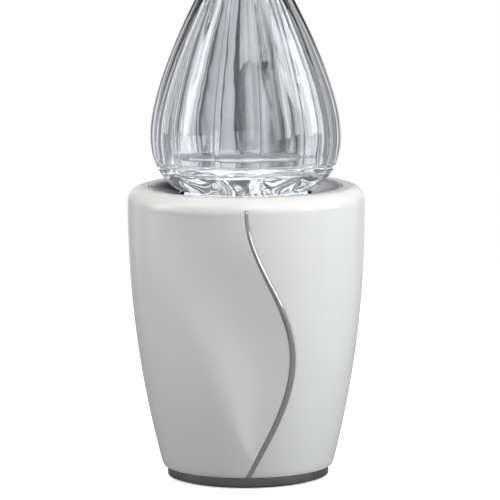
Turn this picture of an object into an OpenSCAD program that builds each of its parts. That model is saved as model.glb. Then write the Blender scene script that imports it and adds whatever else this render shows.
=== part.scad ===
// Tabletop water fountain: a sculpted ceramic body that holds a tank and a pump, and a fluted
// glass vessel that fills from below, overflows at its mouth and drains through a polished dish.
// Millimetres. Origin: centre of the resting face. +Z up, the front faces -Y.

/* [Body] */
// Largest outer radius of the ceramic body
body_r = 80; // [76:1:100]
// Height of the ceramic body's rim above the table
body_h = 198; // [165:1:240]
// Outer radius of the ceramic body at its lower edge
body_low_r = 57.6; // [54:0.1:70]
// Exponent of the body's taper
body_curve = 2.15; // [1.5:0.05:2.5]
// Wall of the ceramic body
body_wall = 8; // [7:0.5:10]
// Radius of the rounded rim
rim_fillet = 10; // [8:0.5:12]
// Deepest point of the hollow beside the trim
scoop_depth = 5.5; // [0:0.5:6]
// How far the hollow reaches round the body at its widest, in degrees
scoop_span = 60; // [40:1:80]

/* [Trim] */
// How far the wave trim swings to the right, in degrees
trim_swing = 24.5; // [0:0.5:35]
// Height at which it swings furthest
trim_peak_z = 86; // [60:1:110]
// Width of the trim at its top end
trim_top_w = 1.7; // [1:0.1:4]
// Width of the trim where it swings furthest
trim_mid_w = 3.3; // [1:0.1:5]
// How deep the trim is let into the body
trim_depth = 2; // [1:0.1:2.5]
// How far the trim's crown stands proud of the body
trim_crown = 0.5; // [0.2:0.1:1]

/* [Foot] */
// How far the steel foot ring is set in from the body's lower edge
foot_inset = 3; // [2:0.5:4]
// Height of the body's lower edge, where the foot ring ends
foot_h = 8; // [7:0.5:10]
// How far the rubber pad lifts the foot ring off the table
pad_lift = 1.2; // [0.8:0.1:2]
// Width of the ring-shaped rubber pad
pad_w = 5; // [4:0.5:6]
// Thickness of the base plate
plate_t = 3; // [2.5:0.1:3.5]

/* [Tank] */
// Height of the electronics bay under the tank
bay_h = 28; // [26:1:34]
// Wall of the tank
tank_wall = 2.5; // [2:0.1:3]
// Clearance between the tank and the body
tank_gap = 0.8; // [0.5:0.1:1.5]
// Width of the tank's flange
flange_w = 3.4; // [2.5:0.1:4]
// Thickness of the tank's flange
flange_t = 2.5; // [2:0.1:3]

/* [Dish] */
// Width of the flat rim between the body's rounded edge and the dish
rim_flat = 5; // [4:0.5:6]
// Gap between the light bridge's hub and the opening in the middle of the dish
dish_gap = 3; // [2.5:0.5:5]
// Depth of the dish
dish_depth = 4; // [3:0.5:4.5]
// Thickness of the dish's sheet
dish_t = 1; // [0.8:0.1:1.2]

/* [Glass] */
// Largest radius of the glass vessel
glass_r = 64.6; // [58:0.2:72]
// Height of the glass vessel
glass_h = 178; // [150:1:210]
// Radius of the flat foot of the glass
glass_foot_r = 41; // [38:0.1:50]
// Wall of the glass
glass_wall = 6; // [5:0.5:7]
// Thickness of the glass floor
glass_floor = 15; // [12:0.5:18]
// Number of flutes
flute_count = 12; // [8:1:18]
// Depth of a flute as a share of the radius
flute_share = 0.05; // [0.02:0.005:0.06]
// Angle of one crease from the front, in degrees
flute_phase = 9.5; // [0:0.5:30]
// Inner radius of the neck
neck_r = 7; // [6:0.5:9]
// Wall of the neck
neck_wall = 3.5; // [3:0.5:4]
// Radius of the hole in the glass floor
inlet_r = 7.7; // [7.6:0.1:8.5]

/* [Light bridge] */
// How far the bridge's hub stands out past the foot of the glass
hub_lip = 0.5; // [0.5:0.1:1.5]
// Width of each arm of the bridge
arm_w = 10; // [8:1:14]
// Number of light chips
led_count = 12; // [6:1:16]

/* [Pump] */
// Width of the pump
pump_w = 42; // [40:1:44]
// Height of the pump
pump_h = 38; // [36:1:42]
// Length of the pump's motor housing
motor_l = 32; // [30:1:33]
// Half the thickness of the volute
volute_half = 8; // [7:0.5:9]
// Radius of the rotor's well
well_r = 9.2; // [8.5:0.1:9.5]
// Radial clearance round the magnet
rotor_gap = 1.2; // [0.8:0.1:1.5]
// Radius of the rotor's shaft
shaft_r = 1.5; // [1:0.1:2]
// Running clearance between the rotor and its shaft
shaft_gap = 0.06; // [0.03:0.01:0.1]
// Inner radius of the riser hose
hose_r = 5; // [4:0.1:6]
// Wall of the riser hose
hose_wall = 2.1; // [1.5:0.1:2.5]

/* [Rear panel] */
// Height of the jack and the switch
panel_z = 23; // [22:0.5:25]
// Distance from the middle to the jack or the switch
panel_x = 13; // [11:0.5:14]
// Radius of their threaded barrels
barrel_r = 6; // [5.5:0.1:6.5]
// Radius of the jack's bore
jack_bore_r = 2.85; // [2.5:0.05:3.2]
// Radius of the jack's centre pin
jack_pin_r = 1.05; // [0.6:0.05:1.3]
// Depth of the jack's bore, and the length of its pin
jack_depth = 9; // [8:0.5:10]
// Radius of the push button
button_r = 4.5; // [4:0.1:5]
// Travel of the push button
button_travel = 1.5; // [1:0.1:2]

/* [Hidden] */

$fn = 96;
eps = 0.01;
fit = 0.05;             // gap each side between pieces that are glued or pressed together
lift_gap = 0.2;         // gap under the pieces that lift off, halved under the dish

// --- radii of the rim stack, counted in from the body's rounded edge, and out from the glass ---
dish_r = body_r - rim_fillet - rim_flat;
hub_r = glass_foot_r + hub_lip;
dish_hole_r = hub_r + dish_gap;
bead_r = 0.9;
dish_ledge_r = dish_r + 0.4;
opening_r = dish_ledge_r - 5.4;
tank_top_r = opening_r - tank_gap;
tank_ledge_r = tank_top_r + flange_w + 0.4;

// --- levels of the rim stack, counted down from the rim ---
shoulder_z = body_h - rim_fillet;
dish_rim_z = body_h - 0.5;
dish_seal_t = 0.8;
dish_ledge_z = dish_rim_z - dish_t - lift_gap/2 - dish_seal_t;
flange_top_z = dish_z(tank_top_r - tank_wall) - dish_t - 0.4;
flange_z = flange_top_z - flange_t;
gasket_t = 0.8;
tank_ledge_z = flange_z - gasket_t;
roof_z = tank_ledge_z - 6;

// --- tank ---
tank_z = foot_h + bay_h;
tank_floor_z = tank_z + tank_wall;
tank_low_r = body_radius(tank_z) - body_wall - 2.6;
foot_r = body_low_r - foot_inset;
ring_wall = 3;
pad_outer_r = foot_r - ring_wall - 1.3;
head_r = 3.8;
post_circle_r = pad_outer_r - pad_w - head_r - 1.4;
post_r = 4.8;
post_angles = [30, 150, 270];

// --- bridge stack, counted up from its arms ---
bridge_z = body_h - 14;
bridge_floor = 2;
hub_wall = 2;
hub_top_z = bridge_z + 6.6;
lens_seal_t = 0.6;
lens_t = 2;
lens_z = hub_top_z + lens_seal_t;
seat_t = 1.6;
seat_z = lens_z + lens_t;
glass_z = seat_z + seat_t + lift_gap;
nozzle_r = inlet_r - 0.7;
nozzle_bore_r = 4.5;
nozzle_flange_t = 2.5;
barb_l = 15;
barb_r = hose_r - fit;
nozzle_low_z = bridge_z - nozzle_flange_t - barb_l;
board_inner_r = 14;
arm_angles = [90, 210, 330];
arm_t = 3;

// --- pump, round the rotor's axis along Y ---
cup_h = 5.4;
pump_z = tank_floor_z + cup_h + pump_h/2;
pump_top_z = pump_z + pump_h/2;
chamber_r = 14;
intake_l = 8;
motor_y = volute_half;
motor_end_y = motor_y + motor_l;
well_l = 17;
coil_bay_y = motor_end_y - 10;
magnet_r = well_r - rotor_gap;
outlet_r = 3.6;
outlet_top_z = pump_top_z + 14;
pump_screw_x = pump_w/2 - 3;
pump_screw_z = pump_h/2 - 3;
seal_groove_r = 16.5;
dial_r = 12;
dial_t = 2;
dial_hole_circle = 8;
dial_holes = 6;
lead_r = 1.8;
lead_bend = 4.2;
pump_lead_y = motor_end_y + lead_bend;
light_lead_x = pump_w/2 + 3;
gland_r = 3.6;

// --- control board ---
board_x = 27;
board_front_y = -24;
board_rear_y = 18;
board_z = foot_h + 4;
board_t = 1.6;
board_hole_x = board_x - 3.5;
terminal_y = board_rear_y - 4;
terminal_top_z = board_z + board_t + 10;

// --- rear panel ---
spot_r = barrel_r + 2.6;
panel_face_y = body_radius(panel_z - spot_r)*cos(asin((panel_x + spot_r)/body_radius(panel_z - spot_r))) - 0.2;
panel_in_y = panel_face_y - 6.5;
bezel_t = 2;
nut_r = barrel_r + 2.8;
nut_t = 3;
barrel_end_y = panel_in_y - 9;
button_out = 2.2;

// ---------------------------------------------------------------- shape functions

function mix(a, b, t) = a + (b - a)*t;
function smooth(t) = let(c = min(1, max(0, t))) c*c*(3 - 2*c);
function bezier(p, t) = pow(1 - t, 3)*p[0] + 3*t*pow(1 - t, 2)*p[1] + 3*t*t*(1 - t)*p[2] + pow(t, 3)*p[3];

// A point at an angle from the front, counted towards +X
function round_point(r, angle, z) = [r*sin(angle), -r*cos(angle), z];

// Outer radius of the body: a tapering curve up to the shoulder, then the rounded rim
function body_radius(z) =
    z <= shoulder_z
    ? body_r - (body_r - body_low_r)*pow((shoulder_z - z)/(shoulder_z - foot_h), body_curve)
    : body_r - rim_fillet + sqrt(max(0, pow(rim_fillet, 2) - pow(z - shoulder_z, 2)));

// The wave: a half cosine down from the top end, then a quarter cosine to the lower edge
trim_top_z = body_h - 7.5;
function trim_angle(z) =
    z > trim_peak_z
    ? trim_swing*(1 + cos(180*min(1, (z - trim_peak_z)/(trim_top_z - trim_peak_z))))/2
    : trim_swing*cos(90*(trim_peak_z - z)/(trim_peak_z - foot_h));
function trim_width(z) =
    mix(z > trim_peak_z ? trim_top_w : 0.85*trim_mid_w, trim_mid_w, trim_angle(z)/max(trim_swing, 1));

// How far the hollow reaches to the left of the trim: it widens from a point near the foot
scoop_low_z = foot_h + 12;
scoop_wide_z = foot_h + 132;
function scoop_reach(z) = scoop_span*pow(sin(90*min(1, (z - scoop_low_z)/(scoop_wide_z - scoop_low_z))), 0.7);

// Depth of the hollow at an angle to the left of the trim: it falls away from the trim in a crease,
// turns at two fifths of its reach and comes back in a soft wave
scoop_turn = 0.4;
function scoop_height(z) =
    z > trim_peak_z
    ? pow(sin(90*(shoulder_z - z)/(shoulder_z - trim_peak_z)), 0.75)
    : sin(90*(z - scoop_low_z)/(trim_peak_z - scoop_low_z));
function scoop_share(t) =
    t < scoop_turn ? 1 - pow(1 - t/scoop_turn, 2) : (1 + cos(180*(t - scoop_turn)/(1 - scoop_turn)))/2;
function scoop(left, z) =
    left <= 0 || z <= scoop_low_z || z >= shoulder_z || left >= scoop_reach(z) ? 0
    : scoop_depth*scoop_height(z)*scoop_share(left/scoop_reach(z));

// Rows of the body and its trim; the last two of the wave rows close the groove's top end
wave_rows = 22;
body_rows = concat(
    [for (i = [0:wave_rows]) mix(foot_h, shoulder_z, i/wave_rows)],
    [trim_top_z, trim_top_z + 0.15],
    [for (a = [25:13:90]) shoulder_z + rim_fillet*sin(a)]
);

// Columns of the body: [degrees left of the trim, side of the groove, 1 on the groove's floor]
scoop_columns = 14;
plain_columns = 34;
body_columns = concat(
    [[0, -1, 0], [0, -1, 1], [0, 1, 1], [0, 1, 0]],
    [for (i = [1:scoop_columns]) [scoop_span*pow(i/scoop_columns, 1.2), 0, 0]],
    [for (i = [1:plain_columns]) [mix(scoop_span, 358, i/plain_columns), 0, 0]]
);
function groove_half_angle(z) = (trim_width(z)/2 + fit)/body_radius(z)*180/PI;
function body_point(column, z) =
    let(
        grooved = z <= trim_top_z,
        side = column[1]*(column[2] == 1 && !grooved ? 0.5 : 1),
        left = column[0] + side*groove_half_angle(z),
        sink = column[2] == 1 && grooved ? trim_depth + fit : 0
    )
    round_point(body_radius(z) - scoop(left, z) - sink, trim_angle(z) - left, z);

// Outer profile of the glass: foot to belly, belly to shoulder, shoulder to neck, neck to lip
glass_belly_z = glass_z + 0.203*glass_h;
glass_shoulder = [0.508*glass_r, glass_z + 0.73*glass_h];
neck_out_r = neck_r + neck_wall;
glass_neck_z = glass_z + 0.925*glass_h;
glass_top_z = glass_z + glass_h;
glass_lower = [
    [glass_foot_r, glass_z], [0.83*glass_r, glass_z + 0.01*glass_h],
    [glass_r, glass_z + 0.095*glass_h], [glass_r, glass_belly_z]
];
glass_middle = [
    [glass_r, glass_belly_z], [glass_r, glass_belly_z + 0.14*glass_h],
    [glass_shoulder[0] + 15.6, glass_shoulder[1] - 30], glass_shoulder
];
glass_upper = [
    glass_shoulder, [glass_shoulder[0] - 8, glass_shoulder[1] + 14],
    [neck_out_r, glass_neck_z - 15], [neck_out_r, glass_neck_z]
];
glass_lip = [
    [neck_out_r, glass_neck_z], [neck_out_r, glass_top_z - 7],
    [neck_out_r + 3, glass_top_z - 5], [neck_out_r + 3, glass_top_z - 1.5]
];
glass_profile = concat(
    [for (i = [0:7]) bezier(glass_lower, i/8)],
    [for (i = [0:9]) bezier(glass_middle, i/10)],
    [for (i = [0:7]) bezier(glass_upper, i/8)],
    [for (i = [0:4]) bezier(glass_lip, i/4)],
    [[neck_out_r + 1.8, glass_top_z]]
);
function flute_depth(p) =
    flute_share*p[0]*smooth((p[1] - glass_z)/(0.11*glass_h))*smooth((glass_neck_z - p[1])/(0.25*glass_h));
function glass_point(p, angle) =
    round_point(p[0] - flute_depth(p)*(1 - abs(cos(flute_count*(angle - flute_phase)/2 + 90))), angle, p[1]);
flute_steps = 5;

// ---------------------------------------------------------------- building blocks

// A closed skin over rings of points that run from the bottom up, clockwise seen from above
module skin(rings) {
    n = len(rings[0]);
    m = len(rings);
    polyhedron(
        points = [for (ring = rings) each ring],
        faces = concat(
            [[for (j = [0:n - 1]) j]],
            [for (i = [0:m - 2]) for (j = [0:n - 1]) let(k = (j + 1)%n)
                each [[i*n + j, (i + 1)*n + j, (i + 1)*n + k], [i*n + j, (i + 1)*n + k, i*n + k]]],
            [[for (j = [n - 1:-1:0]) (m - 1)*n + j]]
        ),
        convexity = 6
    );
}

module ring(outer, inner, z0, z1) {
    difference() {
        translate([0, 0, z0]) cylinder(r = outer, h = z1 - z0);
        translate([0, 0, z0 - 1]) cylinder(r = inner, h = z1 - z0 + 2);
    }
}

// A cylinder along +Y between two depths
module rod_y(r, y0, y1, x = 0, z = 0) {
    translate([x, y0, z]) rotate([-90, 0, 0]) cylinder(r = r, h = y1 - y0);
}

module box(x0, x1, y0, y1, z0, z1) {
    translate([x0, y0, z0]) cube([x1 - x0, y1 - y0, z1 - z0]);
}

module around(angles, r) {
    for (a = angles) rotate([0, 0, a]) translate([r, 0, 0]) children();
}

// A torus about Z
module torus(r, minor, z) {
    translate([0, 0, z]) rotate_extrude() translate([r, 0]) circle(r = minor, $fn = 24);
}

// A quarter bend in the YZ plane about a centre, from +Z towards the given side of Y
module bend_yz(centre, bend, r, from) {
    translate(centre) rotate([0, 90, 0]) rotate([0, 0, from])
        rotate_extrude(angle = 90) translate([bend, 0]) circle(r = r, $fn = 24);
}

function post_places() = [for (a = post_angles) post_circle_r*[cos(a), sin(a)]];

// ---------------------------------------------------------------- body and foot

module cavity() {
    step = 8;
    wall_rows = [for (i = [0:step]) mix(foot_h, roof_z - 9, i/step)];
    difference() {
        rotate_extrude()
            polygon(concat(
                [[0, foot_h - 1], [body_radius(foot_h) - body_wall, foot_h - 1]],
                [for (z = wall_rows) [body_radius(z) - body_wall, z]],
                [[opening_r, roof_z], [opening_r, tank_ledge_z], [tank_ledge_r, tank_ledge_z],
                 [tank_ledge_r, dish_ledge_z], [dish_ledge_r, dish_ledge_z], [dish_ledge_r, body_h + 1],
                 [0, body_h + 1]]
            ));
        box(-2*panel_x, 2*panel_x, panel_in_y, body_r, foot_h - 2, panel_z + spot_r);
    }
}

module body_shell() {
    color([0.93, 0.93, 0.91]) difference() {
        skin([for (z = body_rows) [for (c = body_columns) body_point(c, z)]]);
        cavity();
        for (side = [-1, 1]) {
            rod_y(barrel_r + 0.2, panel_in_y - 1, body_r, side*panel_x, panel_z);
            rod_y(spot_r, panel_face_y, body_r, side*panel_x, panel_z);
            rod_y(nut_r + 0.2, panel_in_y - nut_t - 1, panel_in_y, side*panel_x, panel_z);
        }
    }
}

function trim_ring(z) =
    let(
        half = trim_width(z)/2/body_radius(z)*180/PI,
        middle = trim_angle(z),
        r = body_radius(z)
    )
    [
        round_point(r - trim_depth, middle + half, z),
        round_point(r + 0.1, middle + half, z),
        round_point(r + trim_crown, middle, z),
        round_point(r + 0.1, middle - half, z),
        round_point(r - trim_depth, middle - half, z)
    ];

module wave_trim() {
    rows = [for (z = body_rows) if (z > foot_h && z < trim_top_z) z];
    color([0.62, 0.62, 0.64])
        skin([for (z = concat([foot_h + 0.2], rows, [trim_top_z - 0.2])) trim_ring(z)]);
}

ring_flange_t = 2;
plate_top_z = foot_h - ring_flange_t;
plate_z = plate_top_z - plate_t;

module foot_ring() {
    edge = 0.6;
    color([0.7, 0.7, 0.72]) {
        ring(foot_r, foot_r - ring_wall, pad_lift + edge, foot_h);
        translate([0, 0, pad_lift]) difference() {
            cylinder(r1 = foot_r - edge, r2 = foot_r, h = edge + eps);
            translate([0, 0, -1]) cylinder(r = foot_r - ring_wall, h = 3);
        }
        ring(foot_r - 1, body_low_r - body_wall - 2, plate_top_z, foot_h);
    }
}

pad_sink = 0.4;

module foot_pad() {
    inner = pad_outer_r - pad_w;
    top_z = plate_z + pad_sink;
    color([0.12, 0.12, 0.12]) rotate_extrude()
        polygon([[inner + 0.5, 0], [pad_outer_r - 0.5, 0], [pad_outer_r, 0.6],
                 [pad_outer_r, top_z], [inner, top_z], [inner, 0.6]]);
}

head_t = 1.6;
screw_r = 1.95;
standoff_r = 3;

module base_plate() {
    color([0.16, 0.16, 0.17]) difference() {
        union() {
            translate([0, 0, plate_z]) cylinder(r = foot_r - ring_wall - 0.3, h = plate_t);
            for (x = [-1, 1], y = [board_front_y + 3.5, board_rear_y - 3.5])
                translate([x*board_hole_x, y, plate_z + 1]) cylinder(r = standoff_r, h = board_z - plate_z - 1);
        }
        for (p = post_places()) translate([p[0], p[1], 0]) {
            cylinder(r = screw_r + 0.25, h = foot_h);
            cylinder(r = head_r + 0.3, h = plate_z + head_t + 0.1);
        }
        ring(pad_outer_r + fit, pad_outer_r - pad_w - fit, plate_z - 1, plate_z + pad_sink + fit);
        for (x = [-1, 1], y = [board_front_y + 3.5, board_rear_y - 3.5])
            translate([x*board_hole_x, y, board_z - 5]) cylinder(r = 1.25, h = 6);
    }
}

module base_screws() {
    color([0.6, 0.6, 0.62])
        for (p = post_places()) translate([p[0], p[1], 0]) difference() {
            union() {
                translate([0, 0, plate_z + 0.1]) cylinder(r = head_r, h = head_t);
                translate([0, 0, plate_z + head_t]) cylinder(r = screw_r, h = 16);
            }
            translate([0, 0, plate_z - 0.5]) for (a = [0, 90])
                rotate([0, 0, a]) translate([-2.2, -0.5, 0]) cube([4.4, 1, 1.6]);
        }
}

// ---------------------------------------------------------------- tank

function tank_radius(z) = mix(tank_low_r, tank_top_r, (z - tank_z)/(flange_z - tank_z));

module tank() {
    lug_t = 6;
    color([0.82, 0.84, 0.86]) difference() {
        union() {
            translate([0, 0, tank_z]) cylinder(r1 = tank_low_r, r2 = tank_top_r, h = flange_z - tank_z);
            translate([0, 0, flange_z]) cylinder(r = tank_top_r + flange_w, h = flange_t);
            for (p = post_places()) translate([p[0], p[1], plate_top_z + 0.4])
                cylinder(r = post_r, h = tank_z - plate_top_z);
        }
        difference() {
            union() {
                translate([0, 0, tank_floor_z]) cylinder(
                    r1 = tank_radius(tank_floor_z) - tank_wall, r2 = tank_top_r - tank_wall, h = flange_z - tank_floor_z);
                translate([0, 0, flange_z - eps]) cylinder(r = tank_top_r - tank_wall, h = flange_t + 1);
            }
            for (a = arm_angles) rotate([0, 0, a])
                box(tank_radius(bridge_z) - tank_wall - 4, tank_top_r, -arm_w/2, arm_w/2, bridge_z - lug_t, bridge_z);
        }
        for (p = post_places()) translate([p[0], p[1], plate_top_z]) cylinder(r = screw_r + fit, h = 18);
        translate([0, pump_lead_y, tank_z - 1]) cylinder(r = gland_r, h = tank_wall + 2);
        translate([light_lead_x, 0, tank_z - 1]) cylinder(r = gland_r, h = tank_wall + 2);
    }
}

module tank_gasket() {
    color([0.25, 0.25, 0.26]) ring(tank_ledge_r - 0.3, opening_r + 0.2, tank_ledge_z, flange_z);
}

module lead_glands() {
    lip = 1.2;
    color([0.1, 0.1, 0.1])
        for (p = [[0, pump_lead_y], [light_lead_x, 0]]) translate([p[0], p[1], 0]) difference() {
            union() {
                translate([0, 0, tank_z]) cylinder(r = gland_r - fit, h = tank_wall);
                translate([0, 0, tank_floor_z]) cylinder(r1 = gland_r + 1, r2 = lead_r + 0.8, h = 2*lip);
                translate([0, 0, tank_z - lip]) cylinder(r = gland_r + 1, h = lip);
            }
            translate([0, 0, tank_z - 3]) cylinder(r = lead_r + fit, h = tank_wall + 8);
        }
}

// ---------------------------------------------------------------- dish

// Upper surface of the dish: a shallow bowl inside a rolled bead
function dish_z(r) = dish_rim_z - dish_depth*pow((dish_r - 2*bead_r - r)/(dish_r - 2*bead_r - dish_hole_r), 1.5);

module catch_dish() {
    lip_h = 3.5;
    bowl = [for (i = [0:10]) mix(dish_hole_r + 1, dish_r - 2*bead_r, i/10)];
    color([0.72, 0.72, 0.74]) rotate_extrude($fn = 128)
        polygon(concat(
            [[dish_hole_r, dish_z(dish_hole_r + 1) - lip_h], [dish_hole_r + dish_t, dish_z(dish_hole_r + 1) - lip_h],
             [dish_hole_r + dish_t, dish_z(dish_hole_r + 1) - dish_t - 0.1]],
            [for (r = bowl) if (r > dish_hole_r + dish_t + 0.5) [r, dish_z(r) - dish_t]],
            [[dish_r, dish_rim_z - dish_t]],
            [for (a = [0:30:180]) [dish_r - bead_r + bead_r*cos(a), dish_rim_z - 0.2 + bead_r*sin(a)]],
            [for (i = [10:-1:0]) [bowl[i] - (i == 10 ? 0.3 : 0), dish_z(bowl[i])]],
            [[dish_hole_r + 0.3, dish_z(dish_hole_r + 1) - 0.2], [dish_hole_r, dish_z(dish_hole_r + 1) - 0.6]]
        ));
}

module dish_seal() {
    color([0.85, 0.85, 0.85])
        ring(dish_ledge_r - 0.2, tank_ledge_r + 0.4, dish_ledge_z, dish_ledge_z + dish_seal_t);
}

// ---------------------------------------------------------------- glass

module glass_cavity() {
    floor_z = glass_z + glass_floor;
    corner = 9;
    wall_points = [for (p = glass_profile)
        if (p[1] > floor_z + corner && p[0] - glass_wall > neck_r + 1.5 && p[1] < glass_neck_z) [p[0] - glass_wall, p[1]]];
    corner_r = wall_points[0][0];
    rotate_extrude($fn = 128)
        polygon(concat(
            [[0, floor_z], [corner_r - corner, floor_z]],
            [for (a = [-72:18:-18]) [corner_r - corner + corner*cos(a), floor_z + corner + corner*sin(a)]],
            wall_points,
            [[neck_r, glass_neck_z], [neck_r, glass_top_z - 4], [neck_r + 1.2, glass_top_z + eps], [0, glass_top_z + eps]]
        ));
}

module glass_vessel() {
    columns = flute_count*flute_steps;
    color([0.85, 0.9, 0.92, 0.4]) difference() {
        skin([for (p = glass_profile) [for (j = [0:columns - 1])
            glass_point(p, flute_phase - 360*j/columns)]]);
        glass_cavity();
        translate([0, 0, glass_z - 1]) cylinder(r = inlet_r, h = glass_floor + 3);
        translate([0, 0, glass_z - eps]) cylinder(r1 = glass_foot_r - 9, r2 = nozzle_r + 7, h = 6);
    }
}

// ---------------------------------------------------------------- light bridge

module light_bridge() {
    color([0.9, 0.9, 0.9]) difference() {
        union() {
            translate([0, 0, bridge_z]) cylinder(r = hub_r, h = hub_top_z - bridge_z);
            for (a = arm_angles) rotate([0, 0, a])
                box(hub_r - 5, tank_radius(bridge_z) - tank_wall - 0.5, -arm_w/2 + 0.5, arm_w/2 - 0.5,
                    bridge_z, bridge_z + arm_t);
        }
        ring(hub_r - hub_wall, nozzle_r + 2.6, bridge_z + bridge_floor, hub_top_z + 1);
        translate([0, 0, bridge_z - 1]) cylinder(r = nozzle_r + 0.1, h = hub_top_z - bridge_z + 2);
        translate([light_lead_x, 0, bridge_z - 1]) cylinder(r = lead_r + fit, h = bridge_floor + 2);
    }
}

led_board_z = bridge_z + bridge_floor + 0.8;
led_board_t = 1.2;
led_t = 1;

module led_board() {
    color([0.1, 0.35, 0.2]) ring(hub_r - hub_wall - 0.5, board_inner_r, led_board_z, led_board_z + led_board_t);
}

module led_chips() {
    color([0.98, 0.95, 0.8])
        around([for (i = [0:led_count - 1]) 360*(i + 0.5)/led_count], (hub_r + board_inner_r)/2)
            translate([-2.5, -2.5, led_board_z + led_board_t]) cube([5, 5, led_t]);
}

module lens_seal() {
    color([0.85, 0.85, 0.85]) ring(hub_r - 0.2, hub_r - hub_wall + 0.2, hub_top_z, hub_top_z + lens_seal_t);
}

module led_lens() {
    color([0.9, 0.95, 0.97, 0.5]) ring(hub_r, nozzle_r + 0.1, lens_z, lens_z + lens_t);
}

module seat_ring() {
    color([0.88, 0.88, 0.88]) ring(glass_foot_r - 0.8, glass_foot_r - 7, seat_z, seat_z + seat_t);
}

seal_z = glass_z + 9;

module inlet_nozzle() {
    top_z = glass_z + glass_floor - 0.6;
    color([0.86, 0.88, 0.9]) difference() {
        union() {
            translate([0, 0, bridge_z - nozzle_flange_t]) cylinder(r = nozzle_r, h = top_z - bridge_z + nozzle_flange_t);
            translate([0, 0, bridge_z - nozzle_flange_t]) cylinder(r = nozzle_r + 4, h = nozzle_flange_t);
            translate([0, 0, nozzle_low_z]) cylinder(r = barb_r, h = barb_l + eps);
        }
        translate([0, 0, nozzle_low_z - 1]) cylinder(r = hose_r - 1.5, h = barb_l + 1.5);
        translate([0, 0, nozzle_low_z + barb_l]) cylinder(r = nozzle_bore_r, h = top_z);
        ring(nozzle_r + 1, nozzle_r - 0.9, seal_z - 1, seal_z + 1);
    }
}

module nozzle_nut() {
    color([0.86, 0.88, 0.9]) difference() {
        translate([0, 0, seat_z]) cylinder(r = nozzle_r + 4.2, h = 3, $fn = 6);
        translate([0, 0, seat_z - 1]) cylinder(r = nozzle_r + fit, h = 5);
    }
}

module nozzle_seal() {
    color([0.15, 0.15, 0.15]) torus(nozzle_r - 0.15, 0.72, seal_z);
}

hose_z0 = pump_top_z + 1.5;
hose_z1 = bridge_z - nozzle_flange_t - 1;

module riser_hose() {
    color([0.85, 0.9, 0.9, 0.6]) ring(hose_r + hose_wall, hose_r, hose_z0, hose_z1);
}

module hose_clamps() {
    band = 5;
    band_r = hose_r + hose_wall + fit;
    color([0.66, 0.66, 0.68])
        for (z = [hose_z0 + 3, hose_z1 - 3 - band]) {
            ring(band_r + 0.9, band_r, z, z + band);
            for (x = [-3, 1.6]) box(x, x + 1.4, -band_r - 4.5, -sqrt(pow(band_r + 0.4, 2) - 9), z, z + band);
        }
}

// ---------------------------------------------------------------- pump

module corner_holes(r, y0, y1) {
    for (x = [-1, 1], z = [-1, 1]) rod_y(r, y0, y1, x*pump_screw_x, pump_z + z*pump_screw_z);
}

module pump_block(y0, y1) {
    round_r = 4;
    translate([0, y1, pump_z]) rotate([90, 0, 0]) linear_extrude(y1 - y0)
        union() {
            square([pump_w - 2*round_r, pump_h], center = true);
            square([pump_w, pump_h - 2*round_r], center = true);
            for (x = [-1, 1], z = [-1, 1])
                translate([x*(pump_w/2 - round_r), z*(pump_h/2 - round_r)]) circle(r = round_r, $fn = 32);
        }
}

bush_r = 3;
bush_l = 2.8;
leg_x0 = well_r + 1.8;
leg_x1 = leg_x0 + 5.2;
leg_half = 5.8;
bay_half_x = pump_w/2 - 2.5;
bay_half_z = pump_h/2 - 4;
core_end_y = motor_end_y - 2.5;

module motor_housing() {
    color([0.13, 0.14, 0.15]) difference() {
        pump_block(motor_y, motor_end_y);
        rod_y(well_r, motor_y - 1, motor_y + well_l, 0, pump_z);
        rod_y(bush_r, motor_y + well_l - 1, motor_y + well_l + bush_l, 0, pump_z);
        box(-bay_half_x, bay_half_x, coil_bay_y, motor_end_y + 1, pump_z - bay_half_z, pump_z + bay_half_z);
        for (s = [-1, 1])
            box(min(s*(leg_x0 - 0.1), s*(leg_x1 + 0.1)), max(s*(leg_x0 - 0.1), s*(leg_x1 + 0.1)), motor_y + 3,
                coil_bay_y + 1, pump_z - leg_half - 0.1, pump_z + leg_half + 0.1);
        translate([0, motor_y, pump_z]) rotate([-90, 0, 0]) ring(seal_groove_r + 1, seal_groove_r - 1, -1, 1.7);
        corner_holes(1.45, motor_y - 1, motor_y + 8);
        for (p = cup_places()) translate([p[0], p[1], pump_z - pump_h/2 - 1]) cylinder(r = 1.5, h = 3);
    }
}

module stator_core() {
    color([0.45, 0.45, 0.47]) {
        for (s = [-1, 1])
            box(min(s*leg_x0, s*leg_x1), max(s*leg_x0, s*leg_x1), motor_y + 3.1, core_end_y - 5,
                pump_z - leg_half, pump_z + leg_half);
        box(-leg_x1, leg_x1, core_end_y - 5, core_end_y, pump_z - leg_half, pump_z + leg_half);
    }
}

module stator_coil() {
    color([0.72, 0.38, 0.2]) difference() {
        box(-leg_x0 + 0.5, leg_x0 - 0.5, coil_bay_y + 0.3, motor_end_y - 1.6, pump_z - 11, pump_z + 11);
        box(-leg_x0, leg_x0, core_end_y - 5 - fit, core_end_y + fit, pump_z - leg_half - fit, pump_z + leg_half + fit);
    }
}

module motor_potting() {
    color([0.08, 0.08, 0.09]) difference() {
        box(-bay_half_x + fit, bay_half_x - fit, motor_end_y - 1.4, motor_end_y,
            pump_z - bay_half_z + fit, pump_z + bay_half_z - fit);
        rod_y(lead_r + fit, motor_end_y - 2, motor_end_y + 1, 0, pump_lead_z);
    }
}

module motor_seal() {
    color([0.1, 0.1, 0.1])
        translate([0, motor_y + 0.87, pump_z]) rotate([-90, 0, 0]) torus(seal_groove_r, 0.82, 0);
}

magnet_y = motor_y + 1.5;
magnet_l = well_l - 3;

module rotor_magnet() {
    color([0.2, 0.2, 0.22]) difference() {
        rod_y(magnet_r, magnet_y, magnet_y + magnet_l, 0, pump_z);
        rod_y(shaft_r + shaft_gap, magnet_y - 1, magnet_y + magnet_l + 1, 0, pump_z);
    }
}

vane_count = 6;
impeller_y = -volute_half + 4.2;

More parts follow.
